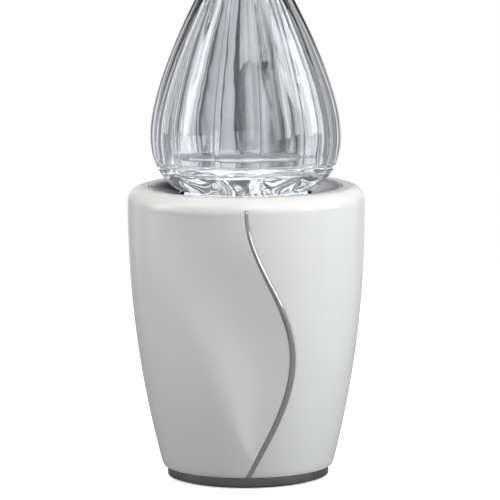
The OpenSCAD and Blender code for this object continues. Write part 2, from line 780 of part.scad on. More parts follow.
module impeller() {
    color([0.85, 0.85, 0.86]) difference() {
        union() {
            rod_y(4, impeller_y, magnet_y, 0, pump_z);
            rod_y(chamber_r - 2.5, magnet_y - 5, magnet_y - 3.5, 0, pump_z);
            for (i = [0:vane_count - 1]) translate([0, 0, pump_z]) rotate([0, 360*i/vane_count, 0])
                box(2.5, chamber_r - 2.5, impeller_y, magnet_y - 4, -0.6, 0.6);
        }
        rod_y(shaft_r + shaft_gap, impeller_y - 1, magnet_y + 1, 0, pump_z);
    }
}

module rotor_shaft() {
    color([0.93, 0.92, 0.88])
        rod_y(shaft_r, -volute_half + 0.5, motor_y + well_l + bush_l - 0.3, 0, pump_z);
}

module shaft_bushes() {
    color([0.1, 0.1, 0.1]) for (y = [[-volute_half + 0.4, 2.5], [motor_y + well_l + 0.2, bush_l - 0.3]]) difference() {
        rod_y(bush_r - fit, y[0], y[0] + y[1], 0, pump_z);
        rod_y(shaft_r + 0.01, y[0] - 1, y[0] + y[1] + 1, 0, pump_z);
    }
}

module volute() {
    eye_r = 7;
    color([0.15, 0.16, 0.17]) difference() {
        union() {
            pump_block(-volute_half, volute_half - eps);
            translate([0, 0, pump_top_z - 1]) cylinder(r = barb_r + 1.5, h = 2);
            translate([0, 0, pump_top_z]) cylinder(r = barb_r, h = outlet_top_z - pump_top_z);
        }
        difference() {
            union() {
                rod_y(chamber_r, -volute_half + 3, volute_half + 1, 0, pump_z);
                rod_y(eye_r, -volute_half - 1, volute_half, 0, pump_z);
            }
            rod_y(bush_r + 1.4, -volute_half + 0.2, -volute_half + 3, 0, pump_z);
            for (a = [90, 210, 330]) translate([0, 0, pump_z]) rotate([0, a, 0])
                box(0, eye_r + 1, -volute_half + 0.5, -volute_half + 2.4, -0.8, 0.8);
        }
        rod_y(bush_r, -volute_half - 1, -volute_half + 4, 0, pump_z);
        translate([0, 0, pump_z + chamber_r - 3]) cylinder(r = outlet_r, h = outlet_top_z - pump_z);
        corner_holes(1.5, -volute_half - 1, volute_half + 1);
    }
}

module filter_sponge() {
    color([0.1, 0.12, 0.14])
        rod_y(chamber_r - 0.5, -volute_half - intake_l + 2.3, -volute_half - 0.3, 0, pump_z);
}

module intake_cover() {
    front_y = -volute_half - intake_l;
    color([0.15, 0.16, 0.17]) difference() {
        union() {
            pump_block(front_y, -volute_half);
            rod_y(2, front_y - dial_t - 0.6, front_y, 0, pump_z);
            rod_y(3, front_y - dial_t - 1.4, front_y - dial_t - 0.5, 0, pump_z);
        }
        rod_y(chamber_r, front_y + 2, -volute_half + 1, 0, pump_z);
        for (i = [0:dial_holes - 1]) translate([0, 0, pump_z]) rotate([0, 360*i/dial_holes, 0])
            rod_y(2.3, front_y - 1, front_y + 3, dial_hole_circle, 0);
        corner_holes(1.5, front_y - 1, -volute_half + 1);
    }
}

module flow_dial() {
    front_y = -volute_half - intake_l;
    color([0.2, 0.45, 0.62]) difference() {
        union() {
            rod_y(dial_r, front_y - dial_t - 0.25, front_y - 0.25, 0, pump_z);
            translate([0, 0, pump_z]) rotate([0, -60, 0])
                box(dial_r - 1.5, dial_r + 2.5, front_y - dial_t - 0.25, front_y - 0.25, -2, 2);
        }
        rod_y(2.06, front_y - dial_t - 1, front_y, 0, pump_z);
        for (i = [0:dial_holes - 1]) translate([0, 0, pump_z]) rotate([0, 360*i/dial_holes, 0])
            rod_y(2.3, front_y - dial_t - 1, front_y, dial_hole_circle, 0);
    }
}

module pump_screws() {
    front_y = -volute_half - intake_l;
    color([0.6, 0.6, 0.62]) {
        corner_holes(1.4, front_y - eps, motor_y + 7);
        corner_holes(2.4, front_y - 1.5, front_y);
    }
}

function cup_places() = [for (x = [-1, 1], y = [motor_y + 6, motor_end_y - 8]) [x*(pump_w/2 - 8), y]];

module suction_cups() {
    under_z = pump_z - pump_h/2;
    color([0.82, 0.86, 0.86, 0.8])
        for (p = cup_places()) translate([p[0], p[1], tank_floor_z]) rotate_extrude($fn = 48)
            polygon([[0, 1.6], [3.6, 1.2], [6.4, 0.05], [6.8, 0.05], [4.2, 2.6], [2.6, cup_h], [1.45, cup_h],
                     [1.45, cup_h + 1.6], [0, cup_h + 1.6]]);
}

pump_lead_z = pump_z - 8;
lead_run_z = board_z + board_t + 7;

// From the motor down through the tank floor, then forward to the board's rear terminal
module pump_lead() {
    turn = 6;
    color([0.08, 0.08, 0.08]) {
        union() {
            rod_y(lead_r, motor_end_y - 1, motor_end_y, 0, pump_lead_z);
            bend_yz([0, motor_end_y, pump_lead_z - lead_bend], lead_bend, lead_r, 90);
            translate([0, pump_lead_y, lead_run_z + turn])
                cylinder(r = lead_r, h = pump_lead_z - lead_bend - lead_run_z - turn, $fn = 24);
            bend_yz([0, pump_lead_y - turn, lead_run_z + turn], turn, lead_r, 0);
            rod_y(lead_r, terminal_y + 4, pump_lead_y - turn, 0, lead_run_z, $fn = 24);
        }
    }
}

module light_lead() {
    color([0.85, 0.85, 0.85]) translate([light_lead_x, 0, terminal_top_z])
        cylinder(r = lead_r, h = led_board_z - terminal_top_z - fit);
}

// ---------------------------------------------------------------- control board

module control_board() {
    color([0.1, 0.4, 0.25]) difference() {
        box(-board_x, board_x, board_front_y, board_rear_y, board_z, board_z + board_t);
        for (x = [-1, 1], y = [board_front_y + 3.5, board_rear_y - 3.5])
            translate([x*board_hole_x, y, board_z - 1]) cylinder(r = 1.5, h = 4);
    }
}

module board_parts() {
    top = board_z + board_t;
    color([0.18, 0.3, 0.55]) {
        for (x = [-panel_x, 0, panel_x]) box(x - 4, x + 4, terminal_y - 4, terminal_y + 4, top, terminal_top_z);
        box(light_lead_x - 4, board_x, -5, 5, top, terminal_top_z);
        translate([-16, -12, top]) cylinder(r = 5, h = 12);
        translate([-4, -14, top]) cylinder(r = 4, h = 9);
        box(4, 18, -18, -8, top, top + 6);
        box(-14, -4, -3, 5, top, top + 2);
    }
}

module board_screws() {
    color([0.65, 0.65, 0.67])
        for (x = [-1, 1], y = [board_front_y + 3.5, board_rear_y - 3.5]) translate([x*board_hole_x, y, 0]) {
            translate([0, 0, board_z + board_t]) cylinder(r = 2.4, h = 1.4);
            translate([0, 0, board_z - 4]) cylinder(r = 1.2, h = board_t + 4.1);
        }
}

// ---------------------------------------------------------------- rear panel

module panel_barrel(x, length_in) {
    rod_y(barrel_r, panel_in_y - length_in, panel_face_y + eps, x, panel_z);
    rod_y(spot_r - 0.4, panel_face_y, panel_face_y + bezel_t, x, panel_z);
}

jack_shank_r = jack_pin_r + 0.45;
jack_shank_l = 2.5;

module power_jack() {
    out_y = panel_face_y + bezel_t;
    color([0.1, 0.1, 0.1]) difference() {
        panel_barrel(-panel_x, 9);
        rod_y(jack_bore_r, out_y - jack_depth, out_y + 1, -panel_x, panel_z);
        rod_y(jack_shank_r, out_y - jack_depth - jack_shank_l, out_y - jack_depth + eps, -panel_x, panel_z);
    }
}

// The pin's shank is pressed into the floor of the bore
module jack_pin() {
    floor_y = panel_face_y + bezel_t - jack_depth;
    color([0.8, 0.78, 0.7]) {
        rod_y(jack_pin_r, floor_y - eps, floor_y + jack_depth - 0.8, -panel_x, panel_z);
        rod_y(jack_shank_r, floor_y - jack_shank_l, floor_y, -panel_x, panel_z);
    }
}

cap_flange_r = button_r + 0.6;
chamber_y = panel_face_y - 6;

module switch_barrel() {
    color([0.1, 0.1, 0.1]) difference() {
        panel_barrel(panel_x, 9);
        rod_y(button_r + 0.25, panel_face_y - 1, panel_face_y + bezel_t + 1, panel_x, panel_z);
        rod_y(cap_flange_r + 0.25, chamber_y, panel_face_y + 0.4, panel_x, panel_z);
    }
}

module switch_button() {
    out_y = panel_face_y + bezel_t + button_out;
    color([0.75, 0.75, 0.77]) difference() {
        union() {
            rod_y(button_r, panel_face_y - 0.6, out_y, panel_x, panel_z);
            rod_y(cap_flange_r, panel_face_y - 1.4, panel_face_y, panel_x, panel_z);
        }
        rod_y(2.6, panel_face_y - 2, panel_face_y + 1, panel_x, panel_z);
    }
}

module switch_spring() {
    turns = 4;
    wire = 0.3;
    coil_r = 2;
    y0 = chamber_y + wire;
    y1 = panel_face_y + 1 - wire;
    steps = 12;
    sides = 6;
    n = turns*steps;
    function coil_point(i, s) =
        let(
            a = 360*i/steps,
            rr = coil_r + wire*cos(360*s/sides)
        )
        [panel_x + rr*cos(a), mix(y0, y1, i/n) + wire*sin(360*s/sides), panel_z + rr*sin(a)];
    color([0.7, 0.7, 0.72]) skin([for (i = [0:n]) [for (s = [0:sides - 1]) coil_point(i, s)]]);
}

module panel_nuts() {
    color([0.55, 0.55, 0.57]) for (s = [-1, 1]) difference() {
        translate([s*panel_x, panel_in_y, panel_z]) rotate([90, 0, 0]) cylinder(r = nut_r, h = nut_t, $fn = 6);
        rod_y(barrel_r + fit, panel_in_y - nut_t - 1, panel_in_y + 1, s*panel_x, panel_z);
    }
}

// Two short pairs of wires, from the jack and the switch to their terminals
module panel_wires() {
    end_y = terminal_y + 4;
    drop = panel_z - lead_run_z;
    run = barrel_end_y - end_y;
    tilt = atan(drop/run);
    for (s = [-1, 1], k = [-1, 1])
        color(k < 0 ? [0.7, 0.1, 0.1] : [0.1, 0.1, 0.1])
            translate([s*panel_x + k*1.6, end_y + 0.4, lead_run_z]) rotate([-90 + tilt, 0, 0])
                cylinder(r = 0.8, h = sqrt(run*run + drop*drop) - 0.8, $fn = 24);
}

// ---------------------------------------------------------------- output

body_shell();
wave_trim();
foot_ring();
foot_pad();
base_plate();
base_screws();
tank();
tank_gasket();
dish_seal();
catch_dish();
glass_vessel();
light_bridge();
led_board();
led_chips();
lens_seal();
led_lens();
seat_ring();
inlet_nozzle();
nozzle_nut();
nozzle_seal();
riser_hose();
hose_clamps();
motor_housing();
stator_core();
stator_coil();
motor_potting();
motor_seal();
rotor_magnet();
impeller();
rotor_shaft();
shaft_bushes();
volute();
filter_sponge();
intake_cover();
flow_dial();
pump_screws();
suction_cups();
pump_lead();
light_lead();
lead_glands();
control_board();
board_parts();
board_screws();
power_jack();
jack_pin();
switch_barrel();
switch_button();
switch_spring();
panel_nuts();
panel_wires();
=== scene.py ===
"""Looks of a tabletop water fountain: a glazed body, a polished dish and a fluted glass vessel.

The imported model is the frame. The pieces that show are modelled here in finer detail, in the same
place and at the same size, and every piece gets a procedural finish. Lengths in this script are
millimetres until a mesh is handed over, which scales it to metres.
"""

import logging
import math
from dataclasses import dataclass, field
from enum import Enum
from typing import Any, Callable, Iterable, Sequence
import bmesh
import bpy
from mathutils import Matrix, Vector
from mathutils import noise as lattice


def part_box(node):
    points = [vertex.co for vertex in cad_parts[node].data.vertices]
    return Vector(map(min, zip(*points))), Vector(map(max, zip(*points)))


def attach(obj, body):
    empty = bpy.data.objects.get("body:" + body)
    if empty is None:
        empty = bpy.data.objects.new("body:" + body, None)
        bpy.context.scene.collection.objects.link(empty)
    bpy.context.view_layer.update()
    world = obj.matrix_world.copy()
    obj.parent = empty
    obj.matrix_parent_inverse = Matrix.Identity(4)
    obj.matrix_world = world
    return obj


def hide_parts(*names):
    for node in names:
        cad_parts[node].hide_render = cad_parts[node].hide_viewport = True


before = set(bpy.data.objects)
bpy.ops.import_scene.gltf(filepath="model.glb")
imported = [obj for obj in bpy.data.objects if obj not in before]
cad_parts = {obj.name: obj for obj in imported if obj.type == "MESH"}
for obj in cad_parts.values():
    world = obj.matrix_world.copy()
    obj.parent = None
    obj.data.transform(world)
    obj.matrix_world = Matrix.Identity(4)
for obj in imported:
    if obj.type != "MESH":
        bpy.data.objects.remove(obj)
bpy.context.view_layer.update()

MM = 0.001
Colour = tuple[float, float, float]
Point2 = tuple[float, float]

log = logging.getLogger("fountain")


# ------------------------------------------------------------------------------ numbers


def mix(a: float, b: float, t: float) -> float:
    """Blend two numbers."""
    return a + (b - a) * t


def smooth(t: float) -> float:
    """Ease from 0 to 1 with flat ends."""
    t = min(1.0, max(0.0, t))
    return t * t * (3.0 - 2.0 * t)


def bezier(points: Sequence[Point2], t: float) -> Point2:
    """Give a point of a cubic curve.

    Args:
        points: The curve's four control points.
        t: Place along the curve, from 0 to 1.

    Returns:
        The point there.
    """
    weights = ((1 - t) ** 3, 3 * t * (1 - t) ** 2, 3 * t * t * (1 - t), t**3)
    return tuple(sum(w * p[i] for w, p in zip(weights, points)) for i in (0, 1))


def arc(centre: Point2, radius: float, start: float, end: float, steps: int) -> list[Point2]:
    """List points of an arc.

    Args:
        centre: The arc's centre.
        radius: Its radius.
        start: First angle in degrees.
        end: Last angle in degrees.
        steps: How many stretches it has.

    Returns:
        Its points, both ends included.
    """
    angles = [math.radians(mix(start, end, i / steps)) for i in range(steps + 1)]
    return [(centre[0] + radius * math.cos(a), centre[1] + radius * math.sin(a)) for a in angles]


def rounded(outline: Sequence[tuple[float, float, float]], steps: int = 4) -> list[Point2]:
    """Round the corners of a closed outline.

    Args:
        outline: Corners as (radius from the axis, height, corner radius).
        steps: Stretches in each rounded corner.

    Returns:
        The outline's points.
    """
    points: list[Point2] = []
    count = len(outline)
    for i, (x, y, radius) in enumerate(outline):
        here = Vector((x, y))
        before = Vector(outline[i - 1][:2]) - here
        after = Vector(outline[(i + 1) % count][:2]) - here
        if radius <= 0 or before.length < 1e-6 or after.length < 1e-6:
            points.append((x, y))
            continue
        half = before.angle(after) / 2
        reach = min(radius / max(math.tan(half), 1e-3), 0.49 * before.length, 0.49 * after.length)
        first, last = here + before.normalized() * reach, here + after.normalized() * reach
        for k in range(steps + 1):
            t = k / steps
            p = first * (1 - t) ** 2 + here * 2 * t * (1 - t) + last * t * t
            points.append((p.x, p.y))
    return points


# ------------------------------------------------------------------------------ shader kit


class Socket:
    """A node's output, on which Python's operators add Math nodes."""

    def __init__(self, graph: "Graph", output: bpy.types.NodeSocket) -> None:
        """Wrap an output of a node in a graph."""
        self.graph = graph
        self.output = output

    def math(self, operation: str, *values: Any) -> "Socket":
        """Add a Math node.

        Args:
            operation: The node's operation.
            values: Its inputs, in order.

        Returns:
            Its result.
        """
        node = self.graph.node("ShaderNodeMath", {"operation": operation}, dict(enumerate(values)))
        return Socket(self.graph, node.outputs[0])

    def __add__(self, other: Any) -> "Socket":
        """Add."""
        return self.math("ADD", self, other)

    def __radd__(self, other: Any) -> "Socket":
        """Add, reflected."""
        return self.math("ADD", other, self)

    def __sub__(self, other: Any) -> "Socket":
        """Subtract."""
        return self.math("SUBTRACT", self, other)

    def __rsub__(self, other: Any) -> "Socket":
        """Subtract, reflected."""
        return self.math("SUBTRACT", other, self)

    def __mul__(self, other: Any) -> "Socket":
        """Multiply."""
        return self.math("MULTIPLY", self, other)

    def __rmul__(self, other: Any) -> "Socket":
        """Multiply, reflected."""
        return self.math("MULTIPLY", other, self)

    def sine(self) -> "Socket":
        """Give the sine."""
        return self.math("SINE", self)

    def step(self, low: float, high: float) -> "Socket":
        """Ease from 0 at one value to 1 at another.

        Args:
            low: The value that gives 0.
            high: The value that gives 1.

        Returns:
            The eased share.
        """
        node = self.graph.node(
            "ShaderNodeMapRange",
            {"interpolation_type": "SMOOTHSTEP"},
            {"Value": self, "From Min": low, "From Max": high},
        )
        return Socket(self.graph, node.outputs[0])


class Graph:
    """The node tree of a material or a world."""

    def __init__(self, tree: bpy.types.NodeTree) -> None:
        """Empty a node tree and hold it."""
        self.tree = tree
        tree.nodes.clear()

    def node(self, kind: str, settings: dict[str, Any], sockets: dict[Any, Any]) -> bpy.types.Node:
        """Add a node.

        Args:
            kind: The node's type.
            settings: Its properties, such as a Math node's operation.
            sockets: Inputs by name or number, each a value or a link.

        Returns:
            The node.
        """
        made = self.tree.nodes.new(kind)
        for name, value in settings.items():
            setattr(made, name, value)
        for name, value in sockets.items():
            if isinstance(value, Socket):
                self.tree.links.new(value.output, made.inputs[name])
            elif isinstance(value, tuple) and made.inputs[name].type == "RGBA":
                made.inputs[name].default_value = (*value[:3], 1.0)
            else:
                made.inputs[name].default_value = value
        return made

    def place(self, scale: tuple[float, float, float] = (1.0, 1.0, 1.0)) -> Socket:
        """Give the place on the object in metres, stretched by a scale along each axis.

        Args:
            scale: The stretch along X, Y and Z.

        Returns:
            The place as a vector.
        """
        coords = self.node("ShaderNodeTexCoord", {}, {})
        mapping = self.node(
            "ShaderNodeMapping", {}, {"Vector": Socket(self, coords.outputs["Object"]), "Scale": scale}
        )
        return Socket(self, mapping.outputs[0])

    def axis(self, vector: Socket, index: int) -> Socket:
        """Give one component of a vector."""
        node = self.node("ShaderNodeSeparateXYZ", {}, {0: vector})
        return Socket(self, node.outputs[index])

    def noise(self, vector: Socket, scale: float, detail: float = 3.0, warp: float = 0.0) -> Socket:
        """Give fractal noise from 0 to 1.

        Args:
            vector: Where it is read.
            scale: Its cells in a metre.
            detail: Its octaves.
            warp: Its distortion.

        Returns:
            The noise.
        """
        node = self.node(
            "ShaderNodeTexNoise", {}, {"Vector": vector, "Scale": scale, "Detail": detail, "Distortion": warp}
        )
        return Socket(self, node.outputs[0])

    def cells(self, vector: Socket, scale: float) -> Socket:
        """Give the distance to the nearest cell point."""
        node = self.node("ShaderNodeTexVoronoi", {}, {"Vector": vector, "Scale": scale})
        return Socket(self, node.outputs["Distance"])

    def blend(self, factor: Any, first: Any, second: Any) -> Socket:
        """Blend two colours."""
        node = self.node("ShaderNodeMix", {"data_type": "RGBA"}, {0: factor, 6: first, 7: second})
        return Socket(self, node.outputs[2])

    def bump(self, height: Socket, depth: float) -> Socket:
        """Turn a height from 0 to 1 into a normal, with its full height in metres."""
        node = self.node("ShaderNodeBump", {}, {"Height": height, "Distance": depth, "Strength": 1.0})
        return Socket(self, node.outputs[0])


# ------------------------------------------------------------------------------ finishes


@dataclass(frozen=True)
class Finish:
    """What every finish shares: a name, a slot name and a base colour."""

    name: str
    slot: str
    colour: Colour
    rough: float = 0.5

    def material(self) -> bpy.types.Material:
        """Give this finish's material, made on first use.

        Returns:
            The material.
        """
        found = bpy.data.materials.get(self.name)
        if found:
            return found
        made = bpy.data.materials.new(self.name)
        made.use_nodes = True
        graph = Graph(made.node_tree)
        shader = graph.node("ShaderNodeBsdfPrincipled", {}, self.sockets(graph))
        graph.node("ShaderNodeOutputMaterial", {}, {0: Socket(graph, shader.outputs[0])})
        made.diffuse_color = (*self.colour, 1.0)
        return made

    def sockets(self, graph: Graph) -> dict[str, Any]:
        """Give the shader's inputs; each finish adds its own.

        Args:
            graph: The material's node tree.

        Returns:
            The inputs by name, each a value or a link.
        """
        return {"Base Color": self.colour, "Roughness": self.rough}


@dataclass(frozen=True)
class Glaze(Finish):
    """Fired white glaze: a faint orange peel, pinholes and a slow drift in tone."""

    deep: Colour = (0.7, 0.7, 0.68)

    def sockets(self, graph: Graph) -> dict[str, Any]:
        """Give the shader's inputs.

        Args:
            graph: The material's node tree.

        Returns:
            The inputs by name, each a value or a link.
        """
        place = graph.place()
        drift = graph.noise(place, 14.0, 2.0)
        peel = graph.noise(place, 520.0, 2.0)
        specks = graph.cells(place, 260.0).step(0.05, 0.09)
        tone = graph.blend(drift.step(0.25, 0.8) * 0.35, self.colour, self.deep)
        return {
            "Base Color": graph.blend(1.0 - specks, tone, self.deep),
            "Roughness": self.rough + drift * 0.08 + peel * 0.03,
            "IOR": 1.52,
            "Coat Weight": 0.35,
            "Coat Roughness": 0.12,
            "Normal": graph.bump(peel * 0.7 + drift * 2.0 + specks * 0.4, 0.00006),
        }


@dataclass(frozen=True)
class Polish(Finish):
    """Polished metal: fine buffing lines and faint smudges over a mirror."""

    lines: tuple[float, float, float] = (1.0, 1.0, 40.0)
    line_depth: float = 0.000004

    def sockets(self, graph: Graph) -> dict[str, Any]:
        """Give the shader's inputs.

        Args:
            graph: The material's node tree.

        Returns:
            The inputs by name, each a value or a link.
        """
        buff = graph.noise(graph.place(self.lines), 900.0, 2.0)
        smudge = graph.noise(graph.place(), 55.0, 4.0, 0.6)
        return {
            "Base Color": graph.blend(smudge * 0.3, self.colour, tuple(c * 0.86 for c in self.colour)),
            "Metallic": 1.0,
            "Roughness": self.rough + buff * 0.05 + smudge.step(0.45, 0.75) * 0.06,
            "Normal": graph.bump(buff, self.line_depth),
        }


@dataclass(frozen=True)
class Glass(Finish):
    """Clear cast glass or plastic with draw ripples, a few seeds and a painted glow: emission that fades with
    height and stands in for light, though the piece is no lamp.
    """

    ior: float = 1.5
    ripple: float = 0.00012
    painted_glow: float = 0.0
    painted_glow_low: float = -1.0
    painted_glow_high: float = 1.0

    def sockets(self, graph: Graph) -> dict[str, Any]:
        """Give the shader's inputs.

        Args:
            graph: The material's node tree.

        Returns:
            The inputs by name, each a value or a link.
        """
        ripple = graph.noise(graph.place((1.0, 1.0, 0.3)), 60.0, 2.0, 0.4)
        seeds = 1.0 - graph.cells(graph.place(), 170.0).step(0.03, 0.08)
        wisps = graph.noise(graph.place((1.0, 1.0, 0.6)), 90.0, 3.0)
        # painted glow: emission strongest low down and fading with height, broken up by the wisps noise,
        # standing in for light
        height = graph.axis(graph.place(), 2) + (wisps - 0.5) * (self.painted_glow_high - self.painted_glow_low) * 0.5
        painted_glow_mask = (1.0 - height.step(self.painted_glow_low, self.painted_glow_high)) * (wisps * 0.8 + 0.6)
        return {
            "Base Color": graph.blend(ripple.step(0.3, 0.9) * 0.3, self.colour, (0.86, 0.9, 0.93)),
            "Roughness": self.rough + seeds * 0.02,
            "IOR": self.ior,
            "Transmission Weight": 1.0,
            "Emission Color": graph.blend(painted_glow_mask, (0.0, 0.0, 0.0), (0.93, 0.97, 1.0)),
            "Emission Strength": self.painted_glow,
            "Normal": graph.bump(ripple + seeds * 0.15, self.ripple),
        }


@dataclass(frozen=True)
class Moulded(Finish):
    """Moulded plastic or rubber: spark-eroded grain and a slow drift in gloss."""

    grain: float = 1400.0
    depth: float = 0.00003
    clear: float = 0.0
    sheen: float = 0.0

    def sockets(self, graph: Graph) -> dict[str, Any]:
        """Give the shader's inputs.

        Args:
            graph: The material's node tree.

        Returns:
            The inputs by name, each a value or a link.
        """
        place = graph.place()
        grain = graph.noise(place, self.grain, 3.0)
        drift = graph.noise(place, 40.0, 2.0)
        worn = tuple(min(1.0, c * 1.18 + 0.01) for c in self.colour)
        return {
            "Base Color": graph.blend(drift.step(0.45, 0.8) * 0.5, self.colour, worn),
            "Roughness": self.rough + grain * 0.12 - drift * 0.06,
            "Transmission Weight": self.clear,
            "Sheen Weight": self.sheen,
            "Normal": graph.bump(grain, self.depth),
        }


@dataclass(frozen=True)
class Winding(Finish):
    """Enamelled wire laid side by side round a core, with painted shade in the gaps between turns."""

    pitch: float = 0.00045

    def sockets(self, graph: Graph) -> dict[str, Any]:
        """Give the shader's inputs.

        Args:
            graph: The material's node tree.

        Returns:
            The inputs by name, each a value or a link.
        """
        along = graph.axis(graph.place(), 0)
        turns = (along * (math.tau / self.pitch)).sine() * 0.5 + 0.5
        tone = graph.noise(graph.place(), 300.0, 2.0)
        return {
            # painted shade: the base colour darkens to about a third in the gaps between turns
            "Base Color": graph.blend(turns, tuple(c * 0.35 for c in self.colour), self.colour),
            "Metallic": 0.9,
            "Roughness": self.rough + tone * 0.15,
            "Normal": graph.bump(turns, 0.0002),
        }


@dataclass(frozen=True)
class Laminate(Finish):
    """Stacked sheet steel, each sheet a thin line."""

    pitch: float = 0.0005

    def sockets(self, graph: Graph) -> dict[str, Any]:
        """Give the shader's inputs.

        Args:
            graph: The material's node tree.

        Returns:
            The inputs by name, each a value or a link.
        """
        height = graph.axis(graph.place(), 2)
        sheets = (height * (math.tau / self.pitch)).sine() * 0.5 + 0.5
        rust = graph.noise(graph.place(), 160.0, 5.0).step(0.5, 0.8)
        steel = graph.blend(sheets, tuple(c * 0.5 for c in self.colour), self.colour)
        return {
            "Base Color": graph.blend(rust * 0.35, steel, (0.25, 0.13, 0.07)),
            "Metallic": 1.0 - rust * 0.5,
            "Roughness": self.rough + rust * 0.25,
            "Normal": graph.bump(sheets, 0.0001),
        }


@dataclass(frozen=True)
class Foam(Finish):
    """Open-cell filter foam, with painted shade in its pores."""

    cell: float = 900.0

    def sockets(self, graph: Graph) -> dict[str, Any]:
        """Give the shader's inputs.

        Args:
            graph: The material's node tree.

        Returns:
            The inputs by name, each a value or a link.
        """
        pores = graph.cells(graph.place(), self.cell)
        return {
            # painted shade: the base colour falls to near black in the pores
            "Base Color": graph.blend(pores.step(0.1, 0.6), (0.004, 0.004, 0.005), self.colour),
            "Roughness": 0.95,
            "Normal": graph.bump(pores, 0.0008),
        }


@dataclass(frozen=True)
class Lamp(Finish):
    """A light chip that is off: specks of yellow phosphor in a pale frame."""

    def sockets(self, graph: Graph) -> dict[str, Any]:
        """Give the shader's inputs.

        Args:
            graph: The material's node tree.

        Returns:
            The inputs by name, each a value or a link.
        """
        dots = graph.cells(graph.place(), 420.0)
        return {
            "Base Color": graph.blend(dots.step(0.2, 0.7), self.colour, (0.95, 0.7, 0.25)),
            "Roughness": 0.3,
            "Coat Weight": 0.6,
            "Normal": graph.bump(dots, 0.00005),
        }


class Look(Enum):
    """Every finish of the fountain."""

    CERAMIC = Glaze("white_glaze", "ceramic", (0.8, 0.8, 0.785), 0.3)
    MIRROR = Polish("mirror_steel", "polished_steel", (0.66, 0.67, 0.69), 0.045)
    # a copy of the polished steel with a darker colour: painted shade standing in for the dark reflections on
    # the foot ring
    FOOT_SHADED = Polish("polished_steel_painted_dark", "polished_steel", (0.3, 0.3, 0.31), 0.07)
    STEEL = Polish("plain_steel", "plain_steel", (0.55, 0.55, 0.57), 0.28, (1.0, 1.0, 12.0), 0.00001)
    # the vessel carries a painted glow at its foot: emission that fades out a few centimetres up, standing in
    # for light in the thick glass
    GLASS = Glass(
        "fluted_glass", "clear_glass", (0.96, 0.98, 0.998), 0.0, 1.5, 0.0002,
        painted_glow=0.045, painted_glow_low=0.21, painted_glow_high=0.226,
    )
    CLEAR = Glass("clear_moulding", "clear_plastic", (0.9, 0.92, 0.94), 0.08, 1.49, 0.00003)
    # the lens carries a painted glow all over: emission, though the light chips under it are off
    FROST = Glass(
        "frosted_lens", "frosted_plastic", (0.93, 0.95, 0.96), 0.42, 1.49, 0.00003,
        painted_glow=0.5, painted_glow_low=1.0, painted_glow_high=2.0,
    )
    GREY = Moulded("grey_moulding", "grey_plastic", (0.5, 0.51, 0.52), 0.45)
    WHITE = Moulded("white_moulding", "white_plastic", (0.8, 0.8, 0.79), 0.4)
    BLACK = Moulded("black_moulding", "black_plastic", (0.018, 0.018, 0.02), 0.42)
    BLUE = Moulded("blue_moulding", "blue_plastic", (0.03, 0.16, 0.36), 0.35)
    PARTS = Moulded("component_moulding", "component_plastic", (0.02, 0.06, 0.2), 0.35)
    BOARD = Moulded("board_lacquer", "circuit_board", (0.012, 0.12, 0.05), 0.28, 260.0, 0.00002)
    RUBBER = Moulded("black_rubber", "black_rubber", (0.014, 0.014, 0.014), 0.68, 700.0, 0.00006, 0.0, 0.2)
    SEAL = Moulded("grey_silicone", "grey_silicone", (0.2, 0.2, 0.21), 0.5)
    SILICONE = Moulded("clear_silicone", "clear_silicone", (0.78, 0.8, 0.8), 0.35, 500.0, 0.00003, 0.5)
    JACKET = Moulded("black_jacket", "black_jacket", (0.015, 0.015, 0.016), 0.4)
    PALE_JACKET = Moulded("white_jacket", "white_jacket", (0.75, 0.75, 0.74), 0.4)
    RED_JACKET = Moulded("red_jacket", "red_jacket", (0.42, 0.02, 0.02), 0.4)
    RESIN = Moulded("potting_resin", "potting_resin", (0.01, 0.01, 0.012), 0.12, 200.0, 0.00005)
    FERRITE = Moulded("sintered_ferrite", "ferrite", (0.05, 0.05, 0.055), 0.45, 1800.0, 0.00004)
    BISCUIT = Moulded("ground_ceramic", "plain_ceramic", (0.8, 0.78, 0.72), 0.3)
    COPPER = Winding("enamelled_copper", "copper", (0.62, 0.25, 0.11), 0.3)
    LAMINATE = Laminate("stacked_steel", "laminated_steel", (0.36, 0.36, 0.38), 0.45)
    FOAM = Foam("filter_foam", "black_foam", (0.03, 0.034, 0.04), 0.95)
    LED = Lamp("light_chip", "led", (0.9, 0.88, 0.8), 0.3)


# ------------------------------------------------------------------------------ mesh kit


